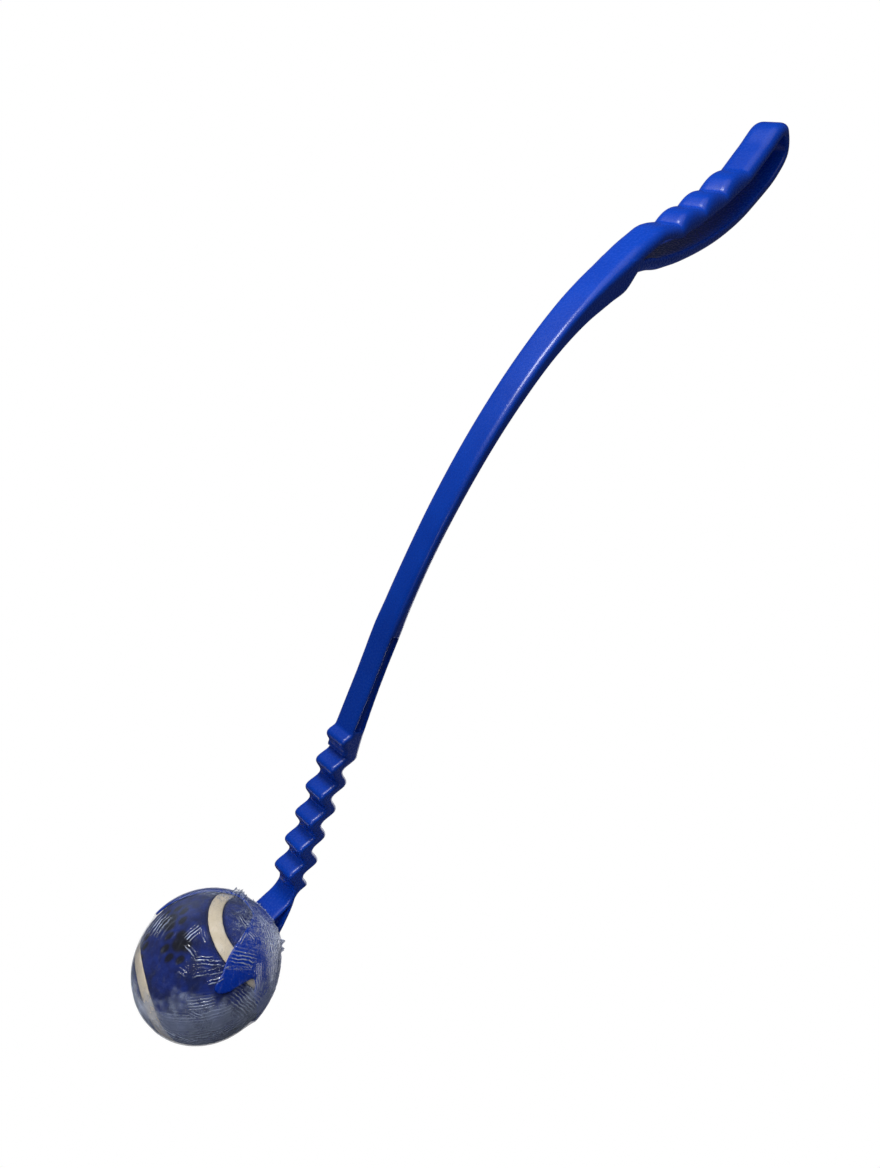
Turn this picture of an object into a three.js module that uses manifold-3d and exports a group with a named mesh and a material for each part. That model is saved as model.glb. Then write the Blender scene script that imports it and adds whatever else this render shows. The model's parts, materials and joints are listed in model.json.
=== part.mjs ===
// A dog's ball launcher with its ball, lying on its side as it is photographed.
//
// The launcher is one plastic moulding: a hollow grip, a bowed arm, a folded neck that
// works as a spring, and a claw cup. It is divided here where it bends. The cup holds a
// felt-covered ball, and clear film is shrunk over ball and cup.
//
// The pieces are drawn in the launcher's own frame, in millimetres: x runs from the
// ball's centre towards the grip, y points forwards, the way the ball flies, and z points
// out of the swing plane. At the end the whole part is laid down on the ground.

import * as THREE from "three";
import { ConvexHull } from "three/addons/math/ConvexHull.js";
import { mergeVertices } from "three/addons/utils/BufferGeometryUtils.js";
import Module from "manifold-3d";

const wasm = await Module();
wasm.setup();

// Driving sizes that several pieces share.
const joinGap = 0.3; // between pieces of the moulding, and between skins
const overrun = 20; // how far a cutting tool reaches past what it cuts
const degree = Math.PI / 180;

const ball = { radius: 31.2, feltDepth: 1.5, rubberWall: 3.5, seamWidth: 6, seamSunk: 0.2 };
const cup = {
  clearance: 0.26, // between ball and cup
  wall: 1,
  turn: 30 * degree, // how far the mouth leans back from straight forwards
  rimDrop: 6.4, // rim below the ball's widest line
  rootDrop: 8.6, // roots of the prongs below the widest line
  prongReach: 8, // tips of the prongs past the widest line
  prongRelief: 0.3, // extra clearance under the prongs
  backProngWidth: 14,
  frontLowWidth: 24, // the gap in the cup's front, at its foot and at the rim
  frontHighWidth: 37,
  frontFootDrop: 24.6,
};
const neck = {
  pitch: 13.9,
  folds: 4,
  start: 52.45, // first joint's distance from the ball's centre
  swing: 2.85, // half the height of a fold
  depth: 7.9,
  halfWidth: 6.5,
  edge: 0.9,
  middle: -29.6, // centreline's place at the first joint
  climb: 0.024, // centreline's rise for each unit of length
  headSwell: 1.6, // extra depth below towards the head
};
const arm = {
  end: 362, // where the grip begins
  lowEdge: 0.9,
  highEdge: 2.4,
  pocketStart: 121,
  pocketEnd: 168,
  pocketDepth: 2.6,
  pocketRim: 1.3,
};
const grip = {
  length: 138, // from the arm's end to the grip's outer corner
  depth: 31,
  wall: 6,
  halfWidth: 9.3,
  edge: 4,
  innerEdge: 1,
  slope: -36.4 * degree,
  rise: -73.4, // forward edge where it leaves the arm
  ridgeHeight: 2.9,
};
const film = { thickness: 0.3, slack: 0.3 };

const joints = Array.from({ length: neck.folds + 1 }, (_, i) => neck.start + i * neck.pitch);
const neckEnd = joints[neck.folds];
const cupInner = ball.radius + cup.clearance;
const cupOuter = cupInner + cup.wall;

const plastic = new THREE.MeshStandardMaterial({ color: 0x0a36a8, roughness: 0.28, metalness: 0 });
const felt = new THREE.MeshStandardMaterial({ color: 0x24398c, roughness: 0.95, metalness: 0 });
const seamGlue = new THREE.MeshStandardMaterial({ color: 0xe4dcc2, roughness: 0.8, metalness: 0 });
const rubber = new THREE.MeshStandardMaterial({ color: 0x303236, roughness: 0.7, metalness: 0 });
const clearFilm = new THREE.MeshStandardMaterial({
  color: 0xf2f6fa,
  roughness: 0.15,
  metalness: 0,
  transparent: true,
  opacity: 0.3,
});

// Solids

function toSolid(geometry) {
  const bare = new THREE.BufferGeometry();
  const source = geometry.index ? geometry.toNonIndexed() : geometry;
  bare.setAttribute("position", source.getAttribute("position"));
  const merged = mergeVertices(bare, 1e-4);
  const vertProperties = new Float32Array(merged.attributes.position.array);
  const triVerts = new Uint32Array(merged.index.array);
  const solid = new wasm.Manifold(new wasm.Mesh({ numProp: 3, vertProperties, triVerts }));
  if (solid.volume() > 0) return solid;
  for (let i = 0; i < triVerts.length; i += 3) {
    [triVerts[i + 1], triVerts[i + 2]] = [triVerts[i + 2], triVerts[i + 1]];
  }
  return new wasm.Manifold(new wasm.Mesh({ numProp: 3, vertProperties, triVerts }));
}

function toMesh(name, solid, material) {
  const data = solid.getMesh();
  const points = new Float32Array(data.numVert * 3);
  for (let i = 0; i < data.numVert; i++) {
    const first = i * data.numProp;
    points.set(data.vertProperties.subarray(first, first + 3), i * 3);
  }
  const geometry = new THREE.BufferGeometry();
  geometry.setAttribute("position", new THREE.BufferAttribute(points, 3));
  geometry.setIndex(new THREE.BufferAttribute(new Uint32Array(data.triVerts), 1));
  geometry.computeVertexNormals();
  const mesh = new THREE.Mesh(geometry, material);
  mesh.name = name;
  return mesh;
}

// A closed skin over rings of points. An open run of rings gets a flat cap at each end.
function skin(rings, closed = false) {
  const count = rings[0].length;
  const points = rings.flat();
  const faces = [];
  const lastRing = closed ? rings.length : rings.length - 1;
  for (let i = 0; i < lastRing; i++) {
    const here = i * count;
    const next = ((i + 1) % rings.length) * count;
    for (let j = 0; j < count; j++) {
      const k = (j + 1) % count;
      faces.push(here + j, next + j, next + k, here + j, next + k, here + k);
    }
  }
  if (!closed) {
    const last = (rings.length - 1) * count;
    for (let j = 1; j < count - 1; j++) {
      faces.push(0, j, j + 1, last, last + j + 1, last + j);
    }
  }
  const geometry = new THREE.BufferGeometry().setFromPoints(points);
  geometry.setIndex(faces);
  return toSolid(geometry);
}

// A rectangle with rounded corners, as [across, sideways] pairs.
const cornerSteps = 2;
function roundedSection(low, high, left, right, lowEdge, highEdge) {
  const corners = [
    [high - highEdge, right - highEdge, highEdge],
    [low + lowEdge, right - lowEdge, lowEdge],
    [low + lowEdge, left + lowEdge, lowEdge],
    [high - highEdge, left + highEdge, highEdge],
  ];
  return corners.flatMap(([across, sideways, radius], corner) =>
    Array.from({ length: cornerSteps + 1 }, (_, step) => {
      const angle = ((corner + step / cornerSteps) * Math.PI) / 2;
      return [across + radius * Math.cos(angle), sideways + radius * Math.sin(angle)];
    }),
  );
}

// A bar along x, cut square to x at each station.
function bar(stations, sectionAt) {
  const rings = stations.map((x) =>
    sectionAt(x).map(([across, sideways]) => new THREE.Vector3(x, across, sideways)),
  );
  return skin(rings);
}

function prism(outline, depth) {
  const shape = new THREE.Shape(outline.map(([x, y]) => new THREE.Vector2(x, y)));
  return new THREE.ExtrudeGeometry(shape, { depth, bevelEnabled: false });
}

function evenly(from, to, step) {
  const count = Math.max(2, Math.round(Math.abs(to - from) / step));
  return Array.from({ length: count + 1 }, (_, i) => from + ((to - from) * i) / count);
}

// A smooth line through [x, value] points, as a function of x.
function lineThrough(points) {
  const slopeAt = (i) => {
    const before = points[Math.max(i - 1, 0)];
    const after = points[Math.min(i + 1, points.length - 1)];
    return (after[1] - before[1]) / (after[0] - before[0]);
  };
  return (x) => {
    const last = points.length - 2;
    const found = points.findIndex(([start], i) => i > 0 && x < start) - 1;
    const i = x <= points[0][0] ? 0 : found < 0 ? last : found;
    const [x0, y0] = points[i];
    const [x1, y1] = points[i + 1];
    const span = x1 - x0;
    const t = THREE.MathUtils.clamp((x - x0) / span, 0, 1);
    const risen = t * t * (3 - 2 * t);
    const leave = t * (1 - t) * (1 - t) * span * slopeAt(i);
    const arrive = t * t * (t - 1) * span * slopeAt(i + 1);
    return y0 + (y1 - y0) * risen + leave + arrive;
  };
}

// Neck: a ribbon folded in even waves, all of one depth, deeper towards the head.

function neckMiddle(x) {
  const wave = Math.cos((2 * Math.PI * (x - joints[0])) / neck.pitch);
  return neck.middle + neck.climb * (x - neck.start) - neck.swing * wave;
}

function neckLow(x) {
  const towardsHead = THREE.MathUtils.smoothstep(joints[1] - x, 0, neck.pitch);
  return neckMiddle(x) - neck.depth / 2 - neck.headSwell * towardsHead;
}

function neckHigh(x) {
  return neckMiddle(x) + neck.depth / 2;
}

const foldStep = neck.pitch / 10;
function neckBar(from, to) {
  const section = (x) =>
    roundedSection(neckLow(x), neckHigh(x), -neck.halfWidth, neck.halfWidth, neck.edge, neck.edge);
  return bar(evenly(from, to, foldStep), section);
}

const foldMeshes = [];
for (let i = 0; i < neck.folds; i++) {
  const from = joints[neck.folds - 1 - i] + joinGap / 2;
  const to = joints[neck.folds - i] - joinGap / 2;
  foldMeshes.push(toMesh(`neck_fold_${i + 1}`, neckBar(from, to), plastic));
}

// Arm: a bowed bar that deepens and widens towards the grip. Its distances are shares of
// its run from the last joint to the grip, its places shares of its fall at the grip.

const armRun = arm.end - neckEnd;
const armHighShares = [
  [0, 0.34], [0.15, 0.33], [0.26, 0.316], [0.38, 0.335], [0.49, 0.373],
  [0.61, 0.447], [0.73, 0.559], [0.84, 0.702], [0.935, 0.864], [1, 1],
];
const armLowShares = [
  [0, 0.475], [0.05, 0.447], [0.15, 0.417], [0.26, 0.407], [0.38, 0.414],
  [0.49, 0.455], [0.61, 0.534], [0.714, 0.638], [0.795, 0.747], [0.87, 0.89],
  [0.927, 1.042], [0.96, 1.14], [1, 1.18],
];
const armHalfWidthShares = [[0, 0.69], [0.24, 0.7], [0.58, 0.77], [0.855, 0.85], [1, 0.935]];
const armLine = (shares, size) =>
  lineThrough(shares.map(([along, share]) => [neckEnd + along * armRun, share * size]));
const armHighLine = armLine(armHighShares, grip.rise);
const armLowLine = armLine(armLowShares, grip.rise);
const armHalfWidth = armLine(armHalfWidthShares, grip.halfWidth);

function armHigh(x) {
  const crestEnd = neckEnd + neck.pitch;
  return x < crestEnd ? Math.max(neckHigh(x), armHighLine(x)) : armHighLine(x);
}

function armLow(x) {
  const bumpEnd = neckEnd + neck.pitch / 2;
  return x < bumpEnd ? Math.min(neckLow(x), armLowLine(x)) : armLowLine(x);
}

function armSection(x) {
  const rounding = THREE.MathUtils.smoothstep(x, arm.pocketEnd, arm.pocketEnd + neck.pitch);
  const edge = arm.lowEdge + (arm.highEdge - arm.lowEdge) * rounding;
  const half = armHalfWidth(x);
  return roundedSection(armLow(x), armHigh(x), -half, half, edge, edge);
}

function makeArm() {
  const start = neckEnd + joinGap / 2;
  const finish = arm.end - joinGap / 2;
  const crest = neckEnd + neck.pitch;
  const armStep = neck.pitch * 0.6;
  const stations = [...evenly(start, crest, foldStep), ...evenly(crest, finish, armStep).slice(1)];
  let solid = bar(stations, armSection);
  for (const side of [-1, 1]) {
    const pocketSection = (x) => {
      const floor = side * (armHalfWidth(x) - arm.pocketDepth);
      const outside = side * (armHalfWidth(x) + overrun);
      const low = armLow(x) + arm.pocketRim;
      const high = armHigh(x) - arm.pocketRim;
      const left = Math.min(floor, outside);
      const right = Math.max(floor, outside);
      return roundedSection(low, high, left, right, arm.lowEdge, arm.lowEdge);
    };
    solid = solid.subtract(bar(evenly(arm.pocketStart, arm.pocketEnd, armStep), pocketSection));
  }
  return toMesh("throwing_arm", solid, plastic);
}

// Grip: a band round a long opening, with finger ridges in front. Its outline is
// drawn in its own frame: along the slope, and across it, forwards counting as more.
// Both are shares of the grip's length and depth.

const shoulderShares = [
  [0, 0], [0.084, 0.027], [0.155, 0.026], [0.211, 0.016], [0.262, -0.055], [0.317, -0.17],
];
const valleyShares = [[0.317, -0.17], [0.459, -0.227], [0.597, -0.271], [0.747, -0.245]];
const ridgeSteps = 6;
const ridgeLean = 0.85; // under one moves a ridge's crown back towards the arm
const endShares = [
  [0.747, -0.245], [0.784, -0.202], [0.838, -0.139], [0.886, -0.085], [0.975, 0.03],
  [1.03, -0.045], [1.045, -0.197], [1.05, -0.381], [1.042, -0.548], [1.018, -0.674],
  [0.98, -0.768], [0.93, -0.852], [0.876, -0.903], [0.762, -0.977], [0.694, -1.003],
  [0.613, -1], [0.522, -0.965], [0.419, -0.887], [0.299, -0.758], [0.216, -0.639],
  [0.161, -0.55], [0.11, -0.435],
];
const outlineStep = 5;

function gripOutline(ridgeHeight) {
  const place = (along, across) =>
    new THREE.Vector2(along, across)
      .rotateAround(new THREE.Vector2(), grip.slope)
      .add(new THREE.Vector2(arm.end + joinGap / 2, grip.rise));
  const smoothly = (points) => {
    const curve = new THREE.SplineCurve(points);
    return curve.getSpacedPoints(Math.round(curve.getLength() / outlineStep));
  };
  const placeShares = (shares) =>
    shares.map(([along, across]) => place(along * grip.length, across * grip.depth));
  const foot = new THREE.Vector2(arm.end + joinGap / 2, armLowLine(arm.end));
  const rest = [...placeShares(endShares), foot];
  const ridges = valleyShares.slice(1).flatMap((end, ridge) =>
    Array.from({ length: ridgeSteps }, (_, i) => {
      const t = i / ridgeSteps;
      const [along, across] = valleyShares[ridge].map((share, k) => share + (end[k] - share) * t);
      const swell = ridgeHeight * Math.sin(Math.PI * t ** ridgeLean);
      return place(along * grip.length, across * grip.depth + swell);
    }),
  );
  return [
    ...smoothly(placeShares(shoulderShares)), ...ridges.slice(1), ...smoothly(rest),
  ];
}

const sharpestMitre = 0.5; // cosine beyond which a corner of the band isn't drawn out
function makeGrip() {
  const outside = gripOutline(grip.ridgeHeight);
  const outline = gripOutline(0);
  const count = outline.length;
  const rings = outline.map((point, i) => {
    const before = outline[(i + count - 1) % count];
    const after = outline[(i + 1) % count];
    const arriving = point.clone().sub(before).normalize();
    const leaving = after.clone().sub(point).normalize();
    const along = arriving.clone().add(leaving).normalize();
    const stretch = 1 / Math.max(along.dot(leaving), sharpestMitre);
    const out = new THREE.Vector2(-along.y, along.x);
    const half = grip.halfWidth;
    return roundedSection(-grip.wall, 0, -half, half, grip.innerEdge, grip.edge).map(
      ([across, sideways]) => {
        const inward = -across / grip.wall;
        const flat = outside[i].clone().lerp(point, inward).addScaledVector(out, across * stretch);
        return new THREE.Vector3(flat.x, flat.y, sideways);
      },
    );
  });
  return toMesh("finger_grip", skin(rings, true), plastic);
}

// Head: a wedge that spreads from the neck to the cup, with a hollow in each side.

const headHighShares = [
  [0.6, -0.5], [0.66, -0.62], [0.75, -0.7], [0.85, -0.795], [0.96, -0.895], [1.06, -0.95],
  [1.16, -0.965], [1.3, -0.94],
];
const headLowShares = [
  [0.2, -0.94], [0.44, -1], [0.61, -1.033], [0.8, -1.053], [0.975, -1.056], [1.08, -1.05],
  [1.18, -1.094], [1.3, -1.17],
];
const headHalfWidthShares = [[0.2, 0.25], [0.5, 0.24], [0.7, 0.232], [1, 0.225], [1.24, 0.2083]];
const headLine = (shares) =>
  lineThrough(shares.map(([along, share]) => [along * ball.radius, share * ball.radius]));
const headHighLine = headLine(headHighShares);
const headLowLine = headLine(headLowShares);
const headHalfLine = headLine(headHalfWidthShares);
const head = { waveEnd: 38.6, waveFade: 2.2, edge: 1, hollowDepth: 3.4 };

function headSection(grow) {
  const { lerp, smoothstep } = THREE.MathUtils;
  return (x) => {
    const onNeck = smoothstep(x, head.waveEnd - head.waveFade, head.waveEnd + head.waveFade);
    const high = lerp(headHighLine(x), neckHigh(x), onNeck) + grow;
    const low = lerp(headLowLine(x), neckLow(x), onNeck) - grow;
    const half = lerp(headHalfLine(x), neck.halfWidth, onNeck) + grow;
    return roundedSection(low, high, -half, half, head.edge, head.edge);
  };
}

const headInnerShare = 0.2;
function headBar(grow) {
  const inner = headInnerShare * ball.radius;
  const waveStart = head.waveEnd - head.waveFade;
  const stations = [
    ...evenly(inner, waveStart, foldStep * 2),
    ...evenly(waveStart, joints[0] - joinGap / 2, foldStep).slice(1),
  ];
  return bar(stations, headSection(grow));
}

const sphereSteps = 32;
function globe(radius) {
  return toSolid(new THREE.SphereGeometry(radius, sphereSteps, sphereSteps / 2));
}

const hollowShares = [[0.985, -0.995], [0.72, -0.75], [0.56, -0.9], [0.63, -0.965]];
function makeHead() {
  let solid = headBar(0).subtract(globe(cupOuter + joinGap));
  const hollow = hollowShares.map(([x, y]) => [x * ball.radius, y * ball.radius]);
  const tool = prism(hollow, overrun);
  const floor = headHalfLine(hollow[1][0]) - head.hollowDepth;
  solid = solid.subtract(toSolid(tool.clone().translate(0, 0, floor)));
  solid = solid.subtract(toSolid(tool.clone().translate(0, 0, -floor - overrun)));
  return toMesh("cup_head", solid, plastic);
}

// Cup: a bowl with an open front and three prongs that reach past the ball's widest line.
// It is drawn in its own frame: y points out of the mouth, x to the handle's side.

// Part of a hollow sphere, between two angles from its crown below.
const shellSteps = 8;
function shellBand(inner, outer, from, to) {
  const arc = (radius) =>
    Array.from({ length: shellSteps + 1 }, (_, i) => {
      const angle = from + ((to - from) * i) / shellSteps;
      return new THREE.Vector2(radius * Math.sin(angle), -radius * Math.cos(angle));
    });
  const profile = [...arc(outer), ...arc(inner).reverse()];
  if (from > 0) profile.push(profile[0].clone());
  return toSolid(new THREE.LatheGeometry(profile, sphereSteps));
}

const slotShare = 0.34; // where the cup's slots begin, towards the handle
const prongShares = [
  [0.535, -0.3], [0.515, -0.05], [0.5, 0.14], [0.53, 0.225], [0.575, 0.25], [0.62, 0.235],
  [0.665, 0.16], [0.725, 0.05], [0.775, -0.1], [0.815, -0.3],
];

function block(width, height, depth, x, y, z) {
  return toSolid(new THREE.BoxGeometry(width, height, depth).translate(x, y, z));
}

function makeBowl() {
  const rimAngle = Math.acos(cup.rimDrop / cupOuter);
  const rootLine = -cup.rootDrop - joinGap;
  let solid = shellBand(cupInner, cupOuter, 0, rimAngle);
  const front = [
    [-cup.frontLowWidth / 2, -cup.frontFootDrop],
    [cup.frontLowWidth / 2, -cup.frontFootDrop],
    [cup.frontHighWidth / 2, -cup.rimDrop],
    [cup.frontHighWidth / 2, overrun],
    [-cup.frontHighWidth / 2, overrun],
    [-cup.frontHighWidth / 2, -cup.rimDrop],
  ];
  const frontTool = prism(front, cupOuter + overrun).rotateY(Math.PI / 2);
  solid = solid.subtract(toSolid(frontTool));
  const seatStart = slotShare * cupInner;
  const reach = cupOuter + overrun;
  const seat = block(reach, reach, 2 * reach, seatStart + reach / 2, rootLine + reach / 2, 0);
  const backWidth = cup.backProngWidth + 2 * joinGap;
  const backSeat = block(reach, reach, backWidth, -reach / 2, rootLine + reach / 2, 0);
  solid = solid.subtract(seat).subtract(backSeat);
  return toMesh("cup_shell", solid, plastic);
}

const prongInner = cupInner + cup.prongRelief;
function prongShell() {
  const low = Math.acos((cup.rootDrop + overrun / 2) / cupOuter);
  const high = Math.PI / 2 + Math.asin((cup.prongReach + cup.wall) / prongInner);
  const trim = block(3 * cupOuter, overrun, 3 * cupOuter, 0, -cup.rootDrop - overrun / 2, 0);
  return shellBand(prongInner, cupOuter, low, high).subtract(trim);
}

function makeProngs() {
  const outline = prongShares.map(([x, y]) => [x * cupInner, y * cupInner]);
  const tool = prism(outline, cupOuter + overrun);
  const near = prongShell().intersect(toSolid(tool));
  const far = prongShell().intersect(toSolid(tool.clone().translate(0, 0, -cupOuter - overrun)));
  const half = cup.backProngWidth / 2;
  const tip = new THREE.Shape();
  tip.moveTo(-half, -cup.rootDrop - overrun);
  tip.lineTo(half, -cup.rootDrop - overrun);
  tip.lineTo(half * 0.8, cup.prongReach - half * 0.8);
  tip.absarc(0, cup.prongReach - half * 0.8, half * 0.8, 0, Math.PI, false);
  const backTool = new THREE.ExtrudeGeometry(tip, {
    depth: cupOuter + overrun,
    bevelEnabled: false,
    curveSegments: 6,
  }).rotateY(-Math.PI / 2);
  const back = prongShell().intersect(toSolid(backTool));
  return [
    toMesh("prong_near", near, plastic),
    toMesh("prong_far", far, plastic),
    toMesh("prong_back", back, plastic),
  ];
}

// Ball: two rubber half shells, two felt panels and the glued seam between them. The seam
// runs round the ball in the usual wave, which a share of its third harmonic sets.

const seamWaveShare = 0.204;
const seamAxis = new THREE.Vector3(-0.738, -0.223, -0.637).normalize();
const seamTurn = 123 * degree;
const seamSteps = 54;

function seamDirection(t) {
  const broad = 1 - seamWaveShare;
  const fine = seamWaveShare;
  const lift = 2 * Math.sqrt(broad * fine);
  return new THREE.Vector3(
    broad * Math.cos(t) + fine * Math.cos(3 * t),
    broad * Math.sin(t) - fine * Math.sin(3 * t),
    lift * Math.sin(2 * t),
  ).applyAxisAngle(seamAxis, seamTurn);
}

function seamStrip(inner, outer, halfWidth) {
  const rings = Array.from({ length: seamSteps }, (_, i) => {
    const t = (2 * Math.PI * i) / seamSteps;
    const out = seamDirection(t).normalize();
    const ahead = seamDirection(t + Math.PI / seamSteps).sub(out);
    const side = new THREE.Vector3().crossVectors(out, ahead).normalize();
    const point = (radius, offset) =>
      out.clone().multiplyScalar(ball.radius).addScaledVector(side, offset).setLength(radius);
    return [
      point(inner, -halfWidth), point(outer, -halfWidth),
      point(outer, halfWidth), point(inner, halfWidth),
    ];
  });
  return skin(rings, true);
}

function makeBall() {
  const feltInner = ball.radius - ball.feltDepth;
  const coreOuter = feltInner - 2 * joinGap;
  const coreInner = coreOuter - ball.rubberWall;
  const core = shellBand(coreInner, coreOuter, 0, Math.PI / 2);
  const lowHalf = toMesh("ball_core_half_a", core, rubber);
  lowHalf.position.y = -joinGap / 2;
  const highHalf = toMesh("ball_core_half_b", core, rubber);
  highHalf.position.y = joinGap / 2;
  highHalf.rotation.x = Math.PI;
  const grooveHalf = ball.seamWidth / 2 + joinGap;
  const groove = seamStrip(feltInner - overrun, ball.radius + overrun, grooveHalf);
  const cover = globe(ball.radius).subtract(globe(feltInner)).subtract(groove);
  const panels = cover.decompose().map((panel, i) => {
    const name = "ball_felt_panel_" + "ab"[i];
    return toMesh(name, panel, felt);
  });
  const seam = seamStrip(feltInner, ball.radius - ball.seamSunk, ball.seamWidth / 2);
  return [lowHalf, highHalf, ...panels, toMesh("ball_seam", seam, seamGlue)];
}

// Film: close over the ball in the mouth, and over the cup behind it, open round the head.

const filmStepStart = 52 * degree; // where the film climbs from the ball to the prongs
const filmStepEnd = 68 * degree;

function filmBody(lift) {
  const profile = [];
  const steps = sphereSteps / 2;
  for (let i = 0; i <= steps; i++) {
    const angle = Math.PI - (Math.PI * i) / steps;
    const climbed = THREE.MathUtils.smoothstep(angle, filmStepStart, filmStepEnd);
    const overBall = ball.radius + film.slack;
    const overCup = cupOuter + joinGap;
    const radius = overBall + (overCup - overBall) * climbed + lift;
    profile.push(new THREE.Vector2(radius * Math.sin(angle), radius * Math.cos(angle)));
  }
  profile[0].x = 0;
  profile[steps].x = 0;
  return toSolid(new THREE.LatheGeometry(profile, sphereSteps).rotateZ(cup.turn));
}

function makeFilm() {
  const shell = filmBody(film.thickness).subtract(filmBody(0));
  const solid = shell.subtract(headBar(joinGap + film.slack));
  return toMesh("shrink_film", solid, clearFilm);
}

// Assembly

const launcher = new THREE.Group();
launcher.add(makeGrip(), makeArm(), ...foldMeshes, makeHead());
const cupGroup = new THREE.Group();
cupGroup.rotation.z = cup.turn;
cupGroup.add(makeBowl(), ...makeProngs());
const ballGroup = new THREE.Group();
ballGroup.add(...makeBall());
launcher.add(cupGroup, ballGroup, makeFilm());

// Laying down: the part turns onto the face of its hull that its weight stands over, with
// the launcher's far side underneath, and its grip is brought round to +x.

const density = new Map([[plastic, 0.9], [felt, 0.35], [seamGlue, 1], [rubber, 1.1], [clearFilm, 0.9]]);

function worldPoints(mesh) {
  const position = mesh.geometry.getAttribute("position");
  return Array.from({ length: position.count }, (_, i) =>
    new THREE.Vector3().fromBufferAttribute(position, i).applyMatrix4(mesh.matrixWorld),
  );
}

function weigh(group) {
  const points = [];
  const centre = new THREE.Vector3();
  let mass = 0;
  group.updateMatrixWorld(true);
  group.traverse((mesh) => {
    if (!mesh.isMesh) return;
    const own = worldPoints(mesh);
    const faces = mesh.geometry.index.array;
    points.push(...own);
    for (let i = 0; i < faces.length; i += 3) {
      const [a, b, c] = [own[faces[i]], own[faces[i + 1]], own[faces[i + 2]]];
      const share = (density.get(mesh.material) * a.dot(b.clone().cross(c))) / 6;
      mass += share;
      centre.addScaledVector(a.clone().add(b).add(c), share / 4);
    }
  });
  return { points, centre: centre.divideScalar(mass) };
}

function restingNormal({ points, centre }) {
  const hull = new ConvexHull().setFromPoints(points);
  const down = new THREE.Vector3(0, 0, -1);
  const faces = hull.faces.filter((face) => {
    let edge = face.edge;
    do {
      const start = edge.tail().point;
      const side = edge.head().point.clone().sub(start);
      const inward = new THREE.Vector3().crossVectors(face.normal, side);
      if (inward.dot(centre.clone().sub(start)) < 0) return false;
      edge = edge.next;
    } while (edge !== face.edge);
    return true;
  });
  faces.sort((a, b) => b.normal.dot(down) - a.normal.dot(down));
  return faces[0].normal.clone();
}

const weight = weigh(launcher);
const laid = new THREE.Group();
const down = new THREE.Vector3(0, 0, -1);
laid.quaternion.setFromUnitVectors(restingNormal(weight), down);
laid.add(launcher);

const part = new THREE.Group();
part.add(laid);
part.updateMatrixWorld(true);
const gripEnd = new THREE.Vector3(grip.length, 0, 0)
  .applyAxisAngle(new THREE.Vector3(0, 0, 1), grip.slope)
  .add(new THREE.Vector3(arm.end, grip.rise, 0))
  .applyMatrix4(launcher.matrixWorld);
laid.rotation.setFromQuaternion(
  new THREE.Quaternion()
    .setFromAxisAngle(new THREE.Vector3(0, 0, 1), -Math.atan2(gripEnd.y, gripEnd.x))
    .multiply(laid.quaternion),
);
part.updateMatrixWorld(true);
const bounds = new THREE.Box3().setFromObject(part, true);
const middle = bounds.getCenter(new THREE.Vector3());
laid.position.set(-middle.x, -middle.y, -bounds.min.z);

export default part;
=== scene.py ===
import json
import math
from functools import partial

import bmesh
import bpy
import numpy as np
from mathutils import Matrix, Vector, noise


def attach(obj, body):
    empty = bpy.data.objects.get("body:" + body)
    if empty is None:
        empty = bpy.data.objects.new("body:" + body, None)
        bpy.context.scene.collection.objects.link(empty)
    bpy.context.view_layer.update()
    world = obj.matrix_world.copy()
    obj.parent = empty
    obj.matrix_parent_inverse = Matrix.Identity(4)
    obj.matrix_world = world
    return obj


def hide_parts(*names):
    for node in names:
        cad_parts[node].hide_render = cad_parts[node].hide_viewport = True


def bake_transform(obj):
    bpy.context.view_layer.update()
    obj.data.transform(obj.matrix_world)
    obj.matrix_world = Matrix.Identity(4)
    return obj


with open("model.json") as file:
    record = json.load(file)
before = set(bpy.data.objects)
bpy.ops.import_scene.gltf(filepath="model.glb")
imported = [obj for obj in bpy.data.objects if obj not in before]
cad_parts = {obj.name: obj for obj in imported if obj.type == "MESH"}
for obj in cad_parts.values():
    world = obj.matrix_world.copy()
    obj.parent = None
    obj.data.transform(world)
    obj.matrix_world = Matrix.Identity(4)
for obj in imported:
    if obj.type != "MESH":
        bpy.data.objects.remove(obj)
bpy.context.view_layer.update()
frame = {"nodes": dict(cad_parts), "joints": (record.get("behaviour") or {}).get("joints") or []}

# The pieces are drawn in the launcher's own frame, in millimetres: x from the ball's centre
# towards the grip, y forwards, z towards the near side. The joints tell where that frame lies.

millimetre = 0.001
joints = {joint["name"]: joint for joint in frame["joints"]}
neck = {
    "pitch": 13.9, "start": 52.45, "folds": 4, "swing": 2.85, "depth": 7.9, "halfWidth": 6.5,
    "edge": 1.7, "middle": -29.6, "climb": 0.024, "headSwell": 1.6,
}
neckEnd = neck["start"] + neck["folds"] * neck["pitch"]
nearSide = Vector(joints["neck_flex_1"]["axis"]).normalized()
mouthWay = Vector(joints["ball_release"]["axis"]).normalized()
mouthAngle = math.radians(120)
alongArm = mouthWay.copy()
alongArm.rotate(Matrix.Rotation(-mouthAngle, 3, nearSide))
forwards = nearSide.cross(alongArm)
axes = np.array([alongArm, forwards, nearSide])
firstJoint = np.array([
    neckEnd, neck["middle"] + neck["climb"] * (neckEnd - neck["start"]) - neck["swing"], 0,
])
ballCentre = np.array(joints["neck_flex_1"]["pos_m"]) - firstJoint * millimetre @ axes


def toRow(points):
    return ballCentre + np.asarray(points, float) * millimetre @ axes


def rowPoint(x, y, z):
    return Vector(toRow([x, y, z]))


# Helpers


# A colour's hex code as Blender's linear red, green, blue and opacity
def linear(code):
    channels = [int(code[i:i + 2], 16) / 255 for i in (0, 2, 4)]
    return [c / 12.92 if c <= 0.04045 else ((c + 0.055) / 1.055) ** 2.4 for c in channels] + [1]


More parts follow.
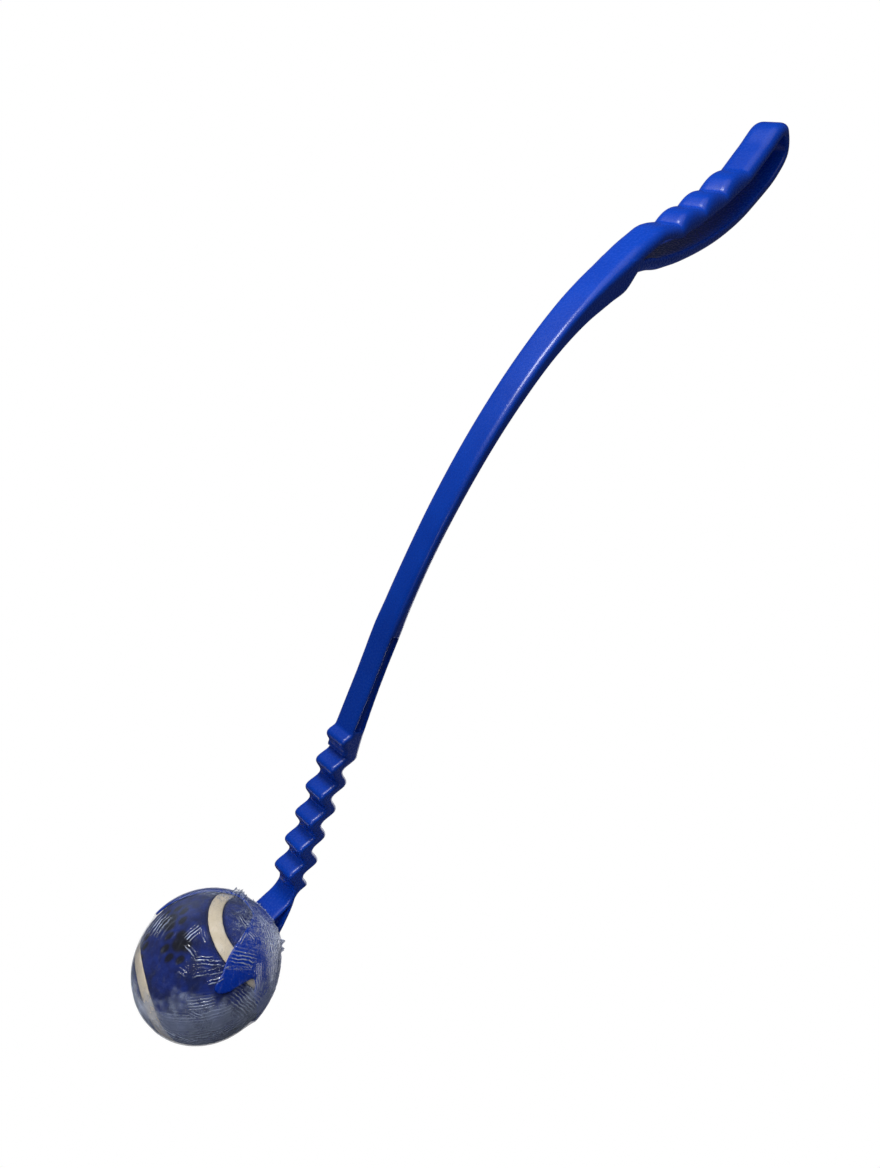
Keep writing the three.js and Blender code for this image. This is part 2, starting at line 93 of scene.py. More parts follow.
def makeMesh(name, points, faces):
    mesh = bpy.data.meshes.new(name)
    mesh.from_pydata(np.asarray(points).tolist(), [], [list(map(int, f)) for f in faces])
    mesh.update()
    piece = bpy.data.objects.new(name, mesh)
    bpy.context.scene.collection.objects.link(piece)
    return piece


def coordsOf(mesh):
    flat = np.zeros(len(mesh.vertices) * 3)
    mesh.vertices.foreach_get("co", flat)
    return flat.reshape(-1, 3)


def smoothShade(piece):
    piece.data.polygons.foreach_set("use_smooth", [True] * len(piece.data.polygons))


def evenly(start, end, step):
    return np.linspace(start, end, max(2, round(abs(end - start) / step)) + 1)


def smoothstep(value, low, high):
    t = np.clip((np.asarray(value, float) - low) / (high - low), 0, 1)
    return t * t * (3 - 2 * t)


# A smooth line through some points: each one's slope comes from its two neighbours
def lineThrough(points):
    xs = np.array([p[0] for p in points], float)
    ys = np.array([p[1] for p in points], float)
    before = np.maximum(np.arange(len(xs)) - 1, 0)
    after = np.minimum(np.arange(len(xs)) + 1, len(xs) - 1)
    slopes = (ys[after] - ys[before]) / (xs[after] - xs[before])

    def value(x):
        i = int(np.clip(np.searchsorted(xs, x, side="right") - 1, 0, len(xs) - 2))
        span = xs[i + 1] - xs[i]
        t = min(max((x - xs[i]) / span, 0), 1)
        leave = t * (1 - t) ** 2 * span * slopes[i]
        arrive = t * t * (t - 1) * span * slopes[i + 1]
        return ys[i] + (ys[i + 1] - ys[i]) * t * t * (3 - 2 * t) + leave + arrive

    return value


# A rectangle with four rounded corners, each with its own radius
def roundedSection(low, high, left, right, edges, steps=6):
    corners = [(high, right), (low, right), (low, left), (high, left)]
    ways = [(-1, -1), (1, -1), (1, 1), (-1, 1)]
    section = []
    for i, ((across, sideways), (a, s), radius) in enumerate(zip(corners, ways, edges)):
        for step in range(steps + 1):
            angle = (i + step / steps) * math.pi / 2
            section.append((
                across + a * radius + radius * math.cos(angle),
                sideways + s * radius + radius * math.sin(angle),
            ))
    return section


def ringAt(x, section):
    return np.array([(x, across, sideways) for across, sideways in section])


# Turned about the near side's axis
def rotated(points, angle):
    c, s = math.cos(angle), math.sin(angle)
    result = points.copy()
    result[:, :2] = points[:, :2] @ np.array([[c, s], [-s, c]])
    return result


def unit(vectors):
    vectors = np.asarray(vectors, float)
    return vectors / np.linalg.norm(vectors, axis=-1, keepdims=True)


# New numbers for the points that are used, and -1 for the others
def renumber(used, count):
    places = np.full(count, -1)
    places[used] = np.arange(len(used))
    return places


def loftFaces(rings, count, closed):
    faces = []
    for i in range(rings if closed else rings - 1):
        here, there = i * count, (i + 1) % rings * count
        for j in range(count):
            k = (j + 1) % count
            faces.append((here + j, there + j, there + k, here + k))
    if not closed:
        faces.append(tuple(range(count)))
        faces.append(tuple(reversed(range((rings - 1) * count, rings * count))))
    return faces


def loft(name, rings, closed=False):
    count = len(rings[0])
    piece = makeMesh(name, np.concatenate(rings), loftFaces(len(rings), count, closed))
    turnFacesOut(piece)
    return piece


def turnFacesOut(piece):
    bm = bmesh.new()
    bm.from_mesh(piece.data)
    bmesh.ops.recalc_face_normals(bm, faces=bm.faces)
    if bm.calc_volume(signed=True) < 0:
        bmesh.ops.reverse_faces(bm, faces=bm.faces)
    bm.to_mesh(piece.data)
    bm.free()


def applyModifiers(piece):
    evaluated = piece.evaluated_get(bpy.context.evaluated_depsgraph_get())
    fresh = bpy.data.meshes.new_from_object(evaluated)
    piece.modifiers.clear()
    piece.data = fresh


def cut(piece, tool):
    modifier = piece.modifiers.new("Cut", "BOOLEAN")
    modifier.operation = "DIFFERENCE"
    modifier.solver = "EXACT"
    modifier.object = tool
    applyModifiers(piece)
    bpy.data.objects.remove(tool)


def joined(name, pieces):
    points, faces, start = [], [], 0
    for piece in pieces:
        points.append(coordsOf(piece.data))
        faces += [tuple(start + v for v in p.vertices) for p in piece.data.polygons]
        start += len(piece.data.vertices)
        bpy.data.objects.remove(piece)
    return makeMesh(name, np.concatenate(points), faces)


# Geometry at a voxel's size, then eased, so that every meeting of two forms is filleted
def remeshed(piece, voxel, easing):
    modifier = piece.modifiers.new("Remesh", "REMESH")
    modifier.mode = "VOXEL"
    modifier.voxel_size = voxel
    smooth = piece.modifiers.new("Ease", "SMOOTH")
    smooth.factor = 0.5
    smooth.iterations = easing
    applyModifiers(piece)


# Camera, at the photograph's place. Its own sizes are in millimetres, apart from near in metres.

cameraSizes = {"place": (246.21, 245.92, 226.93), "lens": 25.0, "sensor": 36, "near": 0.01}
cameraRight = Vector((0.385936, -0.603666, 0.697596))
cameraUp = Vector((0.912359, 0.137805, -0.385501))
cameraBack = Vector((0.136582, 0.785237, 0.603944))
cameraData = bpy.data.cameras.new("Camera")
cameraData.lens = cameraSizes["lens"]
cameraData.sensor_width = cameraSizes["sensor"]
cameraData.clip_start = cameraSizes["near"]
camera = bpy.data.objects.new("Camera", cameraData)
turn = Matrix([Vector(np.array(v) @ axes) for v in (cameraRight, cameraUp, cameraBack)]).transposed()
camera.matrix_world = Matrix.Translation(rowPoint(*cameraSizes["place"])) @ turn.to_4x4()
bpy.context.scene.collection.objects.link(camera)
bpy.context.scene.camera = camera

# Materials


def newMaterial(name):
    material = bpy.data.materials.new(name)
    material.use_nodes = True
    material.node_tree.nodes.clear()
    return material


# A socket is given by its name, with _ for a space, or by its number, as in i0. A value is another
# node's output, a number, a colour or a colour's hex code.
def addNode(material, kind, settings=None, **sockets):
    node = material.node_tree.nodes.new(kind)
    for key, value in (settings or {}).items():
        setattr(node, key, value)
    for key, value in sockets.items():
        numbered = key[0] == "i" and key[1:].isdigit()
        socket = node.inputs[int(key[1:]) if numbered else key.replace("_", " ")]
        if isinstance(value, bpy.types.NodeSocket):
            material.node_tree.links.new(value, socket)
        else:
            socket.default_value = linear(value) if isinstance(value, str) else value
    return node


# Short forms of the nodes that are used most: each gives its node's output


def placeNode(material):
    return addNode(material, "ShaderNodeTexCoord").outputs["Object"]


def markNode(material, name):
    return addNode(material, "ShaderNodeAttribute", {"attribute_name": name}).outputs["Fac"]


def noiseNode(material, place, scale, detail, **more):
    node = addNode(material, "ShaderNodeTexNoise", Vector=place, Scale=scale, Detail=detail, **more)
    return node.outputs["Fac"]


def rangeNode(material, value, low, high, first, last, kind="LINEAR"):
    return addNode(material, "ShaderNodeMapRange", {"interpolation_type": kind}, i0=value, i1=low,
                   i2=high, i3=first, i4=last).outputs[0]


def mathNode(material, operation, *terms, clamp=False):
    total = terms[0]
    for i, term in enumerate(terms[1:], 2):
        settings = {"operation": operation, "use_clamp": clamp and i == len(terms)}
        total = addNode(material, "ShaderNodeMath", settings, i0=total, i1=term).outputs[0]
    return total


def mixNode(material, kind, share, first, second):
    return addNode(material, "ShaderNodeMix" + kind, i0=share, i1=first, i2=second).outputs[0]


def rampNode(material, factor, stops):
    stops = list(stops)
    node = addNode(material, "ShaderNodeValToRGB", i0=factor)
    elements = node.color_ramp.elements
    while len(elements) < len(stops):
        elements.new(0.5)
    for element, (place, code) in zip(elements, stops):
        element.position = place
        element.color = linear(code)
    return node.outputs[0]


def bumpNode(material, height, strength, distance, **more):
    return addNode(material, "ShaderNodeBump", Height=height, Strength=strength, Distance=distance,
                   **more).outputs[0]


def principledNode(material, colour, roughness, bump, **more):
    return addNode(material, "ShaderNodeBsdfPrincipled", Base_Color=colour, Roughness=roughness,
                   Normal=bump, **more).outputs[0]


def finished(material, surface):
    addNode(material, "ShaderNodeOutputMaterial", Surface=surface)
    return material


# Royal-blue polypropylene, glossy, with the faint ripple that moulded sides have
plasticLook = {"colours": ("0440ba", "0646c4"), "roughness": (0.24, 0.3), "ripple": 0.12, "grain": 0.03,
               "ior": 1.49, "coat": 0.08, "coatRoughness": 0.12}


def bluePlastic():
    material = newMaterial("glossyBluePolypropylene")
    place = placeNode(material)
    cloud = noiseNode(material, place, 60, 3)
    grain = noiseNode(material, place, 900, 4)
    colour = rampNode(material, cloud, zip((0.3, 0.7), plasticLook["colours"]))
    roughness = rangeNode(material, grain, 0.3, 0.7, *plasticLook["roughness"])
    ripple = bumpNode(material, cloud, plasticLook["ripple"], 0.0015)
    bump = bumpNode(material, grain, plasticLook["grain"], 0.0001, Normal=ripple)
    return finished(material, principledNode(
        material, colour, roughness, bump, IOR=plasticLook["ior"], Coat_Weight=plasticLook["coat"],
        Coat_Roughness=plasticLook["coatRoughness"],
    ))


plastic = bluePlastic()

# Moulding: head, neck, arm and grip. The arm's wave fades over a run given in pitches of the neck,
# its edge becomes the grip's over gripRun, and overlap is how far it reaches into the grip.

arm = {"end": 362, "highEdge": 2.6, "pocketStart": 121, "pocketEnd": 168, "pocketDepth": 2.6,
       "pocketRim": 1.3, "pocketEdge": 0.8, "waveFade": (0.6, 1.1), "gripRun": 30, "overlap": 4,
       "overlapFall": 0.15}
grip = {"length": 138, "depth": 31, "wall": 6, "halfWidth": 9.3, "edge": 4.8, "innerEdge": 1.1,
        "slope": math.radians(-36.4), "rise": -73.4, "ridgeHeight": 2.9, "ridgeLean": 0.85,
        "outlineStep": 1.4}
ball = {"radius": 31.2, "detail": 7}
head = {"start": 6.3, "waveEnd": 38.6, "waveFade": 2.2, "hollowDepth": 3.4, "cut": 41.0}
cup = {"inner": 31.46, "outer": 32.46, "turn": math.radians(30)}
overrun = 10  # how far a cutting tool reaches past what it cuts


def neckMiddle(x):
    wave = math.cos(2 * math.pi * (x - neck["start"]) / neck["pitch"])
    return neck["middle"] + neck["climb"] * (x - neck["start"]) - neck["swing"] * wave


def neckLow(x):
    towardsHead = float(smoothstep(neck["start"] + neck["pitch"] - x, 0, neck["pitch"]))
    return neckMiddle(x) - neck["depth"] / 2 - neck["headSwell"] * towardsHead


def neckHigh(x):
    return neckMiddle(x) + neck["depth"] / 2


# Outlines as shares: of the arm's run and the grip's rise or half width along the arm, and of the
# ball's radius at the head

armRun = arm["end"] - neckEnd
armHighShares = [
    (0, 0.34), (0.15, 0.33), (0.26, 0.316), (0.38, 0.335), (0.49, 0.373),
    (0.61, 0.447), (0.73, 0.559), (0.84, 0.702), (0.935, 0.864), (1, 1),
]
armLowShares = [
    (0, 0.475), (0.05, 0.447), (0.15, 0.417), (0.26, 0.407), (0.38, 0.414),
    (0.49, 0.455), (0.61, 0.534), (0.714, 0.638), (0.795, 0.747), (0.87, 0.89),
    (0.927, 1.042), (0.96, 1.14), (1, 1.18),
]
armWidthShares = [(0, 0.69), (0.24, 0.7), (0.58, 0.77), (0.855, 0.86), (1, 0.99)]
headHighShares = [
    (0.6, -0.5), (0.66, -0.62), (0.75, -0.7), (0.85, -0.795), (0.96, -0.895), (1.06, -0.95),
    (1.16, -0.965), (1.3, -0.94),
]
headLowShares = [
    (0.2, -0.94), (0.44, -1), (0.61, -1.033), (0.8, -1.053), (0.975, -1.056), (1.08, -1.05),
    (1.18, -1.094), (1.3, -1.17),
]
headWidthShares = [(0.2, 0.25), (0.5, 0.24), (0.7, 0.232), (1, 0.225), (1.24, 0.2083)]


def armLine(shares, size):
    return lineThrough([(neckEnd + a * armRun, b * size) for a, b in shares])


def headLine(shares):
    return lineThrough([(a * ball["radius"], b * ball["radius"]) for a, b in shares])


armHighLine = armLine(armHighShares, grip["rise"])
armLowLine = armLine(armLowShares, grip["rise"])
armWidthLine = armLine(armWidthShares, grip["halfWidth"])
headHighLine = headLine(headHighShares)
headLowLine = headLine(headLowShares)
headWidthLine = headLine(headWidthShares)


def onNeck(x):
    return float(smoothstep(x, head["waveEnd"] - head["waveFade"], head["waveEnd"] + head["waveFade"]))


def bodyHigh(x):
    if x > arm["end"]:
        return grip["rise"] + (x - arm["end"]) * (math.tan(grip["slope"]) - arm["overlapFall"])
    if x < neckEnd:
        return headHighLine(x) + (neckHigh(x) - headHighLine(x)) * onNeck(x)
    fadeStart, fadeEnd = (neckEnd + share * neck["pitch"] for share in arm["waveFade"])
    fading = float(smoothstep(x, fadeStart, fadeEnd))
    onWave = max(neckHigh(x), armHighLine(x))
    return onWave + (armHighLine(x) - onWave) * fading


def bodyLow(x):
    if x < neckEnd:
        return headLowLine(x) + (neckLow(x) - headLowLine(x)) * onNeck(x)
    if x < neckEnd + neck["pitch"] / 2:
        return min(neckLow(x), armLowLine(x))
    return armLowLine(x)


def bodyWidth(x):
    if x < neckEnd:
        return headWidthLine(x) + (neck["halfWidth"] - headWidthLine(x)) * onNeck(x)
    return armWidthLine(x)


def bodyEdge(x):
    onArm = float(smoothstep(x, arm["pocketEnd"], arm["pocketEnd"] + neck["pitch"]))
    atGrip = float(smoothstep(x, arm["end"] - arm["gripRun"], arm["end"]))
    armEdge = neck["edge"] + (arm["highEdge"] - neck["edge"]) * onArm
    return armEdge + (grip["edge"] - arm["highEdge"]) * atGrip


def bodyRing(x):
    half = bodyWidth(x)
    return ringAt(x, roundedSection(bodyLow(x), bodyHigh(x), -half, half, [bodyEdge(x)] * 4))


fineStep, armStep = 0.7, 2
fineEnd = neckEnd + neck["pitch"] * 1.2
stations = np.concatenate([
    evenly(head["start"], fineEnd, fineStep), evenly(fineEnd, arm["end"] + arm["overlap"], armStep)[1:],
])
stem = loft("stem", [bodyRing(x) for x in stations])

for side in (-1, 1):
    rings = []
    for x in evenly(arm["pocketStart"], arm["pocketEnd"], armStep):
        left, right = sorted(side * (armWidthLine(x) + out) for out in (-arm["pocketDepth"], overrun))
        low, high = bodyLow(x) + arm["pocketRim"], bodyHigh(x) - arm["pocketRim"]
        rings.append(ringAt(x, roundedSection(low, high, left, right, [arm["pocketEdge"]] * 4, 3)))
    cut(stem, loft("pocketTool", rings))

hollowShares = [(0.985, -0.995), (0.72, -0.75), (0.56, -0.9), (0.63, -0.965)]
hollow = np.array(hollowShares) * ball["radius"]
hollowFloor = headWidthLine(hollow[1][0]) - head["hollowDepth"]
for side in (-1, 1):
    depths = (hollowFloor, hollowFloor + 2 * overrun)
    cut(stem, loft("hollowTool", [np.array([(x, y, side * z) for x, y in hollow]) for z in depths]))


def sphereAt(name, radius):
    bm = bmesh.new()
    bmesh.ops.create_icosphere(bm, subdivisions=5, radius=radius)
    mesh = bpy.data.meshes.new(name)
    bm.to_mesh(mesh)
    bm.free()
    piece = bpy.data.objects.new(name, mesh)
    bpy.context.scene.collection.objects.link(piece)
    return piece


cut(stem, sphereAt("seatTool", (cup["inner"] + cup["outer"]) / 2))

# Grip's outline, as shares of its length along its slope and of its depth across it

shoulderShares = [
    (0, 0), (0.084, 0.027), (0.155, 0.026), (0.211, 0.016), (0.262, -0.055), (0.317, -0.17),
]
valleyShares = [(0.317, -0.17), (0.459, -0.227), (0.597, -0.271), (0.747, -0.245)]
endShares = [
    (0.747, -0.245), (0.784, -0.202), (0.838, -0.139), (0.886, -0.085), (0.975, 0.03),
    (1.03, -0.045), (1.045, -0.197), (1.05, -0.381), (1.042, -0.548), (1.018, -0.674),
    (0.98, -0.768), (0.93, -0.852), (0.876, -0.903), (0.762, -0.977), (0.694, -1.003),
    (0.613, -1), (0.522, -0.965), (0.419, -0.887), (0.299, -0.758), (0.216, -0.639),
    (0.161, -0.55), (0.11, -0.435),
]
splineSteps = 16  # points between two given ones


def placeOnGrip(along, across):
    c, s = math.cos(grip["slope"]), math.sin(grip["slope"])
    return np.array([arm["end"] + along * c - across * s, grip["rise"] + along * s + across * c])


def splinePoints(points, step):
    points = np.array(points)
    padded = np.vstack([2 * points[0] - points[1], points, 2 * points[-1] - points[-2]])
    found = []
    for i in range(len(points) - 1):
        a, b, c, d = padded[i:i + 4]
        for t in np.linspace(0, 1, splineSteps, endpoint=False):
            found.append(0.5 * (2 * b + (c - a) * t + (2 * a - 5 * b + 4 * c - d) * t * t
                                + (3 * b - a - 3 * c + d) * t ** 3))
    found.append(points[-1])
    found = np.array(found)
    travelled = np.concatenate([[0], np.cumsum(np.linalg.norm(np.diff(found, axis=0), axis=1))])
    places = evenly(0, travelled[-1], step)
    return np.column_stack([np.interp(places, travelled, found[:, k]) for k in (0, 1)])


def gripPoints(shares):
    return [placeOnGrip(a * grip["length"], b * grip["depth"]) for a, b in shares]


def gripOutline(ridgeHeight):
    ridges = []
    for (a0, b0), (a1, b1) in zip(valleyShares, valleyShares[1:]):
        for t in np.linspace(0, 1, splineSteps, endpoint=False):
            swell = ridgeHeight * math.sin(math.pi * t ** grip["ridgeLean"])
            ridges.append(placeOnGrip((a0 + (a1 - a0) * t) * grip["length"],
                                      (b0 + (b1 - b0) * t) * grip["depth"] + swell))
    foot = np.array([arm["end"], armLowLine(arm["end"])])
    return np.vstack([
        splinePoints(gripPoints(shoulderShares), grip["outlineStep"]), ridges[1:],
        splinePoints(gripPoints(endShares) + [foot], grip["outlineStep"]),
    ])


# The band's own line has no ridges: they swell its outside only. Its corners aren't drawn out
# further than the sharpest one allows.
sharpestCorner = 0.6


def bandRings():
    outside, outline = gripOutline(grip["ridgeHeight"]), gripOutline(0)
    ahead = unit(np.roll(outline, -1, axis=0) - outline)
    along = unit(ahead + np.roll(ahead, 1, axis=0))
    stretch = 1 / np.maximum((along * ahead).sum(1), sharpestCorner)
    out = np.column_stack([-along[:, 1], along[:, 0]])
    half, edge, innerEdge = grip["halfWidth"], grip["edge"], grip["innerEdge"]
    section = roundedSection(-grip["wall"], 0, -half, half, [edge, innerEdge, innerEdge, edge])
    rings = []
    for swollen, plain, o, s in zip(outside, outline, out, stretch):
        ring = []
        for across, sideways in section:
            inward = -across / grip["wall"]
            ring.append((*(swollen + (plain - swollen) * inward + o * across * s), sideways))
        rings.append(np.array(ring))
    return rings


band = loft("band", bandRings(), True)

# Cup: a thin bowl whose rim rises into three prongs. The rim is a height for each angle
# round the mouth, counted from the handle's side, as shares of the ball's radius.

sideRimShares = [
    (0, -0.76), (14, -0.75), (22, -0.66), (30, -0.43), (35, -0.2), (39.9, -0.03), (46, 0.1), (50, 0.22),
    (53.5, 0.26), (57, 0.23), (60.3, 0.13), (62, -0.1), (63.5, -0.24), (69, -0.27), (72, -0.25),
    (76, -0.2), (100, -0.2), (140, -0.2), (160, -0.2), (164, -0.2), (167, 0.02), (172, 0.2), (180, 0.26),
]
rimLine = lineThrough(sideRimShares)


def cupShell():
    turns, rows, rimSteps, poleGap = 420, 70, 5, 0.004
    middle = (cup["outer"] + cup["inner"]) / 2
    half = (cup["outer"] - cup["inner"]) / 2
    rings = []
    for i in range(turns):
        angle = 360 * i / turns
        share = rimLine(min(angle, 360 - angle))
        top = math.acos(-share * ball["radius"] / cup["outer"])
        tops = np.linspace(poleGap, top, rows)
        radii = [(cup["outer"], t) for t in tops]
        for step in range(1, rimSteps):
            bend = math.pi * step / rimSteps
            radii.append((middle + half * math.cos(bend), top + half * math.sin(bend) / middle))
        radii += [(cup["inner"], t) for t in reversed(tops)]
        c, s = math.cos(math.radians(angle)), math.sin(math.radians(angle))
        rings.append(rotated(np.array([
            (r * math.sin(t) * c, -r * math.cos(t), r * math.sin(t) * s) for r, t in radii
        ]), cup["turn"]))
    return loft("bowl", rings, True)


moulding = joined("moulding", [stem, band, cupShell()])
voxel, easing = 0.5, 4
remeshed(moulding, voxel, easing)
print("moulding", len(moulding.data.polygons), "faces")


# The moulding is shared out between pieces: the arm and grip, the neck's folds, the head and cup
# and the prongs. The cuts lie where two neighbours move alike, and each piece keeps the whole moulding's
# normals.
def shareOut(whole, label):
    mesh = whole.data
    points = coordsOf(mesh)
    normals = np.zeros(len(mesh.vertices) * 3)
    mesh.vertex_normals.foreach_get("vector", normals)
    normals = normals.reshape(-1, 3)
    faces = [tuple(p.vertices) for p in mesh.polygons]
    centres = np.array([points[list(f)].mean(0) for f in faces])
    labels = label(centres)
    rowPoints, rowNormals = toRow(points), normals @ axes
    pieces = {}
    for name in sorted(set(labels)):
        own = [faces[i] for i in np.flatnonzero(labels == name)]
        used = np.unique(np.concatenate([np.array(f) for f in own]))
        places = renumber(used, len(points))
        piece = makeMesh(name, rowPoints[used], [places[list(f)] for f in own])
        smoothShade(piece)
        piece.data.normals_split_custom_set_from_vertices(rowNormals[used].tolist())
        pieces[name] = piece
    bpy.data.objects.remove(whole)
    return pieces


foldMiddles = [neckEnd - neck["pitch"] * (i + 0.5) for i in range(neck["folds"])]
neckNames = ["neckFromArm", "neckSecondFold", "neckThirdFold", "neckFourthFold", "neckToHead"]
prongNames = ["prongNear", "prongFar", "prongBack"]
prongBodies = ["prong_near", "prong_far", "prong_back"]
# The prongs' roots, the angles round the mouth between which they lie, in degrees, and how far
# outside the cup a face may lie and still belong to one
prongs = {"root": -11.0, "sideStart": 24, "sideEnd": 66.5, "backStart": 162, "skin": 0.5}


def mouldingLabel(centres):
    x = centres[:, 0]
    labels = np.full(len(x), "armAndGrip", dtype="<U20")
    edges = [neckEnd + neck["pitch"] / 2] + foldMiddles + [head["cut"]]
    for name, high, low in zip(neckNames, edges, edges[1:]):
        labels[(x <= high) & (x > low)] = name
    labels[x <= head["cut"]] = "headAndCup"
    inCup = rotated(centres, -cup["turn"])
    angle = np.degrees(np.arctan2(inCup[:, 2], inCup[:, 0]))
    radius = np.linalg.norm(centres, axis=1)
    raised = (inCup[:, 1] > prongs["root"]) & (x <= head["cut"])
    raised &= radius < cup["outer"] + prongs["skin"]
    for name, own in (("prongNear", angle), ("prongFar", -angle)):
        labels[raised & (own > prongs["sideStart"]) & (own < prongs["sideEnd"])] = name
    labels[raised & (abs(angle) > prongs["backStart"])] = "prongBack"
    return labels


moulded = shareOut(moulding, mouldingLabel)
for name, piece in moulded.items():
    piece.data.materials.append(plastic)

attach(moulded["armAndGrip"], "grip_arm")
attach(moulded["headAndCup"], "head")
for i, name in enumerate(neckNames):
    x = neckEnd - i * neck["pitch"]
    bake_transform(moulded[name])
for name, body in zip(prongNames, prongBodies):
    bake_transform(moulded[name])
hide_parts("finger_grip", "throwing_arm")
for i, name in enumerate(neckNames[:4]):
    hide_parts(f"neck_fold_{i + 1}")
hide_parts("cup_head", "cup_shell")
for name, node in zip(prongNames, prongBodies):
    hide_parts(node)
print("moulding shared out")

# Ball: a felt cover in two panels, and the cream glue between them. The seam runs round the
# ball in the usual wave, which a share of its third harmonic sets.

seam = {"width": 6.0, "top": 31.05, "foot": 29.8, "share": 0.204, "turn": math.radians(123),
        "gap": 0.25, "rounding": 1.1, "samples": 720, "stripSamples": 500, "wander": 0.35,
        "wanderSize": 0.2, "steady": 2, "crown": 0.08, "flank": 0.06, "sunk": 0.1}
seamRim = [(0.5, 0), (0.12, -0.12), (0, -0.35)]  # in from the strip's edge, and up from its top
seamAxis = Vector((-0.738, -0.223, -0.637))


def seamCurve(count):
    t = np.linspace(0, 2 * math.pi, count, endpoint=False)
    broad, fine = 1 - seam["share"], seam["share"]
    line = np.column_stack([
        broad * np.cos(t) + fine * np.cos(3 * t),
        broad * np.sin(t) - fine * np.sin(3 * t),
        2 * math.sqrt(broad * fine) * np.sin(2 * t),
    ]) @ np.array(Matrix.Rotation(seam["turn"], 3, seamAxis)).T
    line = unit(line)
    return line, unit(np.cross(line, np.roll(line, -1, axis=0) - line))


seamLine, seamSides = seamCurve(seam["samples"])


def seamPlace(directions):
    nearest = np.concatenate([  # in slices, which spares memory
        np.argmax(part @ seamLine.T, axis=1) for part in np.array_split(directions, 16)
    ])
    side = seamSides[nearest]
    return ball["radius"] * np.arcsin(np.clip((directions * side).sum(1), -1, 1)), side


def globe(subdivisions):
    bm = bmesh.new()
    bmesh.ops.create_icosphere(bm, subdivisions=subdivisions, radius=1)
    bm.verts.ensure_lookup_table()
    points = np.array([v.co[:] for v in bm.verts])
    faces = np.array([[v.index for v in f.verts] for f in bm.faces])
    edges = np.array([[v.index for v in e.verts] for e in bm.edges])
    bm.free()
    return unit(points), faces, edges


def noiseAt(points, size, octaves=1):
    scaled = [Vector(p) for p in (np.asarray(points) / size).tolist()]
    if octaves == 1:
        return np.array([noise.noise(p) for p in scaled])
    return np.array([noise.fractal(p, 1.0, 2.0, octaves) for p in scaled])


def paint(piece, name, values):
    layer = piece.data.attributes.new(name, "FLOAT", "POINT")
    layer.data.foreach_set("value", np.asarray(values, float))


# Paw prints: a broad pad and four toes. Each oval has its place ahead and aside and its half
# widths in these two ways, in millimetres. Each paw has its centre and the way its toes point.

pawPad = [(-1.7, -2.2, 2.7, 2.8), (-1.7, 2.2, 2.7, 2.8), (0.7, 0, 3.1, 3.3)]
pawToes = [(2.6, -6.1, 2.2, 1.5), (6.2, -2.3, 2.3, 1.6), (6.2, 2.3, 2.3, 1.6), (2.6, 6.1, 2.2, 1.5)]
pawFade = (0.65, 1.35)  # where an oval's ink is full and where it ends, in half widths
pawReach = 0.8  # the least cosine between a paw's centre and its ink
paws = [
    ((0.64, 0.76, 0.1), (-0.91, 0.33, -0.22)), ((0.66, 0.68, -0.33), (0.9, 0.1, -0.4)),
    ((-0.9, 0.25, 0.36), (0.2, 0.9, 0.3)), ((-0.32, 0.5, -0.8), (1, 0.1, -0.3)),
    ((-0.78, -0.3, -0.5), (0.2, 0.8, -0.6)), ((-0.83, 0.46, -0.3), (-0.3, -0.4, 1)),
    ((-0.3, -0.2, 0.93), (-0.8, 0.5, 0)), ((0.25, 0.2, -0.95), (0.5, 0.8, 0.3)),
    ((0.1, 0.85, -0.5), (0.9, -0.1, 0.4)),
]


def pawInk(directions):
    ink = np.zeros(len(directions))
    for centre, toes in paws:
        out = unit(centre)
        ahead = unit(np.array(toes) - out * (np.array(toes) @ out))
        aside = np.cross(out, ahead)
        u, v = ball["radius"] * directions @ ahead, ball["radius"] * directions @ aside
        near = directions @ out > pawReach
        for a, b, halfA, halfB in pawPad + pawToes:
            reach = np.sqrt(((u - a) / halfA) ** 2 + ((v - b) / halfB) ** 2)
            ink = np.where(near, np.maximum(ink, 1 - smoothstep(reach, *pawFade)), ink)
    return ink


# Felt: how deep it lies under the ball's radius, how far its points move to meet the seam, the
# rounding, the width of the painted shade beside the seam, and where the two panels part. The nap
# has a height, a size on a ball of radius 1 and a number of octaves for each layer.
felt = {"sink": 0.1, "snap": 0.34, "rounding": 0.45, "shade": 1.6, "split": 1.2, "slack": 0.01}
napLayers = [(0.1, 0.028, 3), (0.12, 0.16, 1)]


def feltPanels():
    directions, faces, _ = globe(ball["detail"])
    place, side = seamPlace(directions)
    edge = seam["width"] / 2 + seam["gap"]
    shift = np.sign(place) * edge - place
    shift[np.abs(shift) > felt["snap"]] = 0
    directions = unit(directions + side * (shift / ball["radius"])[:, None])
    away = np.abs(place + shift)
    nap = sum(height * noiseAt(directions, size, octaves) for height, size, octaves in napLayers)
    rounding = felt["rounding"] * (1 - smoothstep(away, edge, edge + seam["rounding"])) ** 2
    radius = ball["radius"] - felt["sink"] + nap - rounding
    radius[away < edge - felt["slack"]] = seam["foot"]
    points = directions * radius[:, None]
    centre = place[faces].mean(1)
    ink = pawInk(directions)
    # Painted shade: a band beside the seam, where the felt rounds down under the glue, is marked for a
    # darker colour
    paintedSeamShade = 1 - smoothstep(away, edge, edge + felt["shade"])
    panels = []
    for name, sign in (("feltPanelOne", 1), ("feltPanelTwo", -1)):
        own = sign * centre > felt["split"]
        used = np.unique(faces[own])
        panel = makeMesh(name, toRow(points[used]), renumber(used, len(points))[faces[own]])
        smoothShade(panel)
        paint(panel, "ink", ink[used])
        paint(panel, "paintedSeamShade", paintedSeamShade[used])
        panels.append(panel)
    return panels


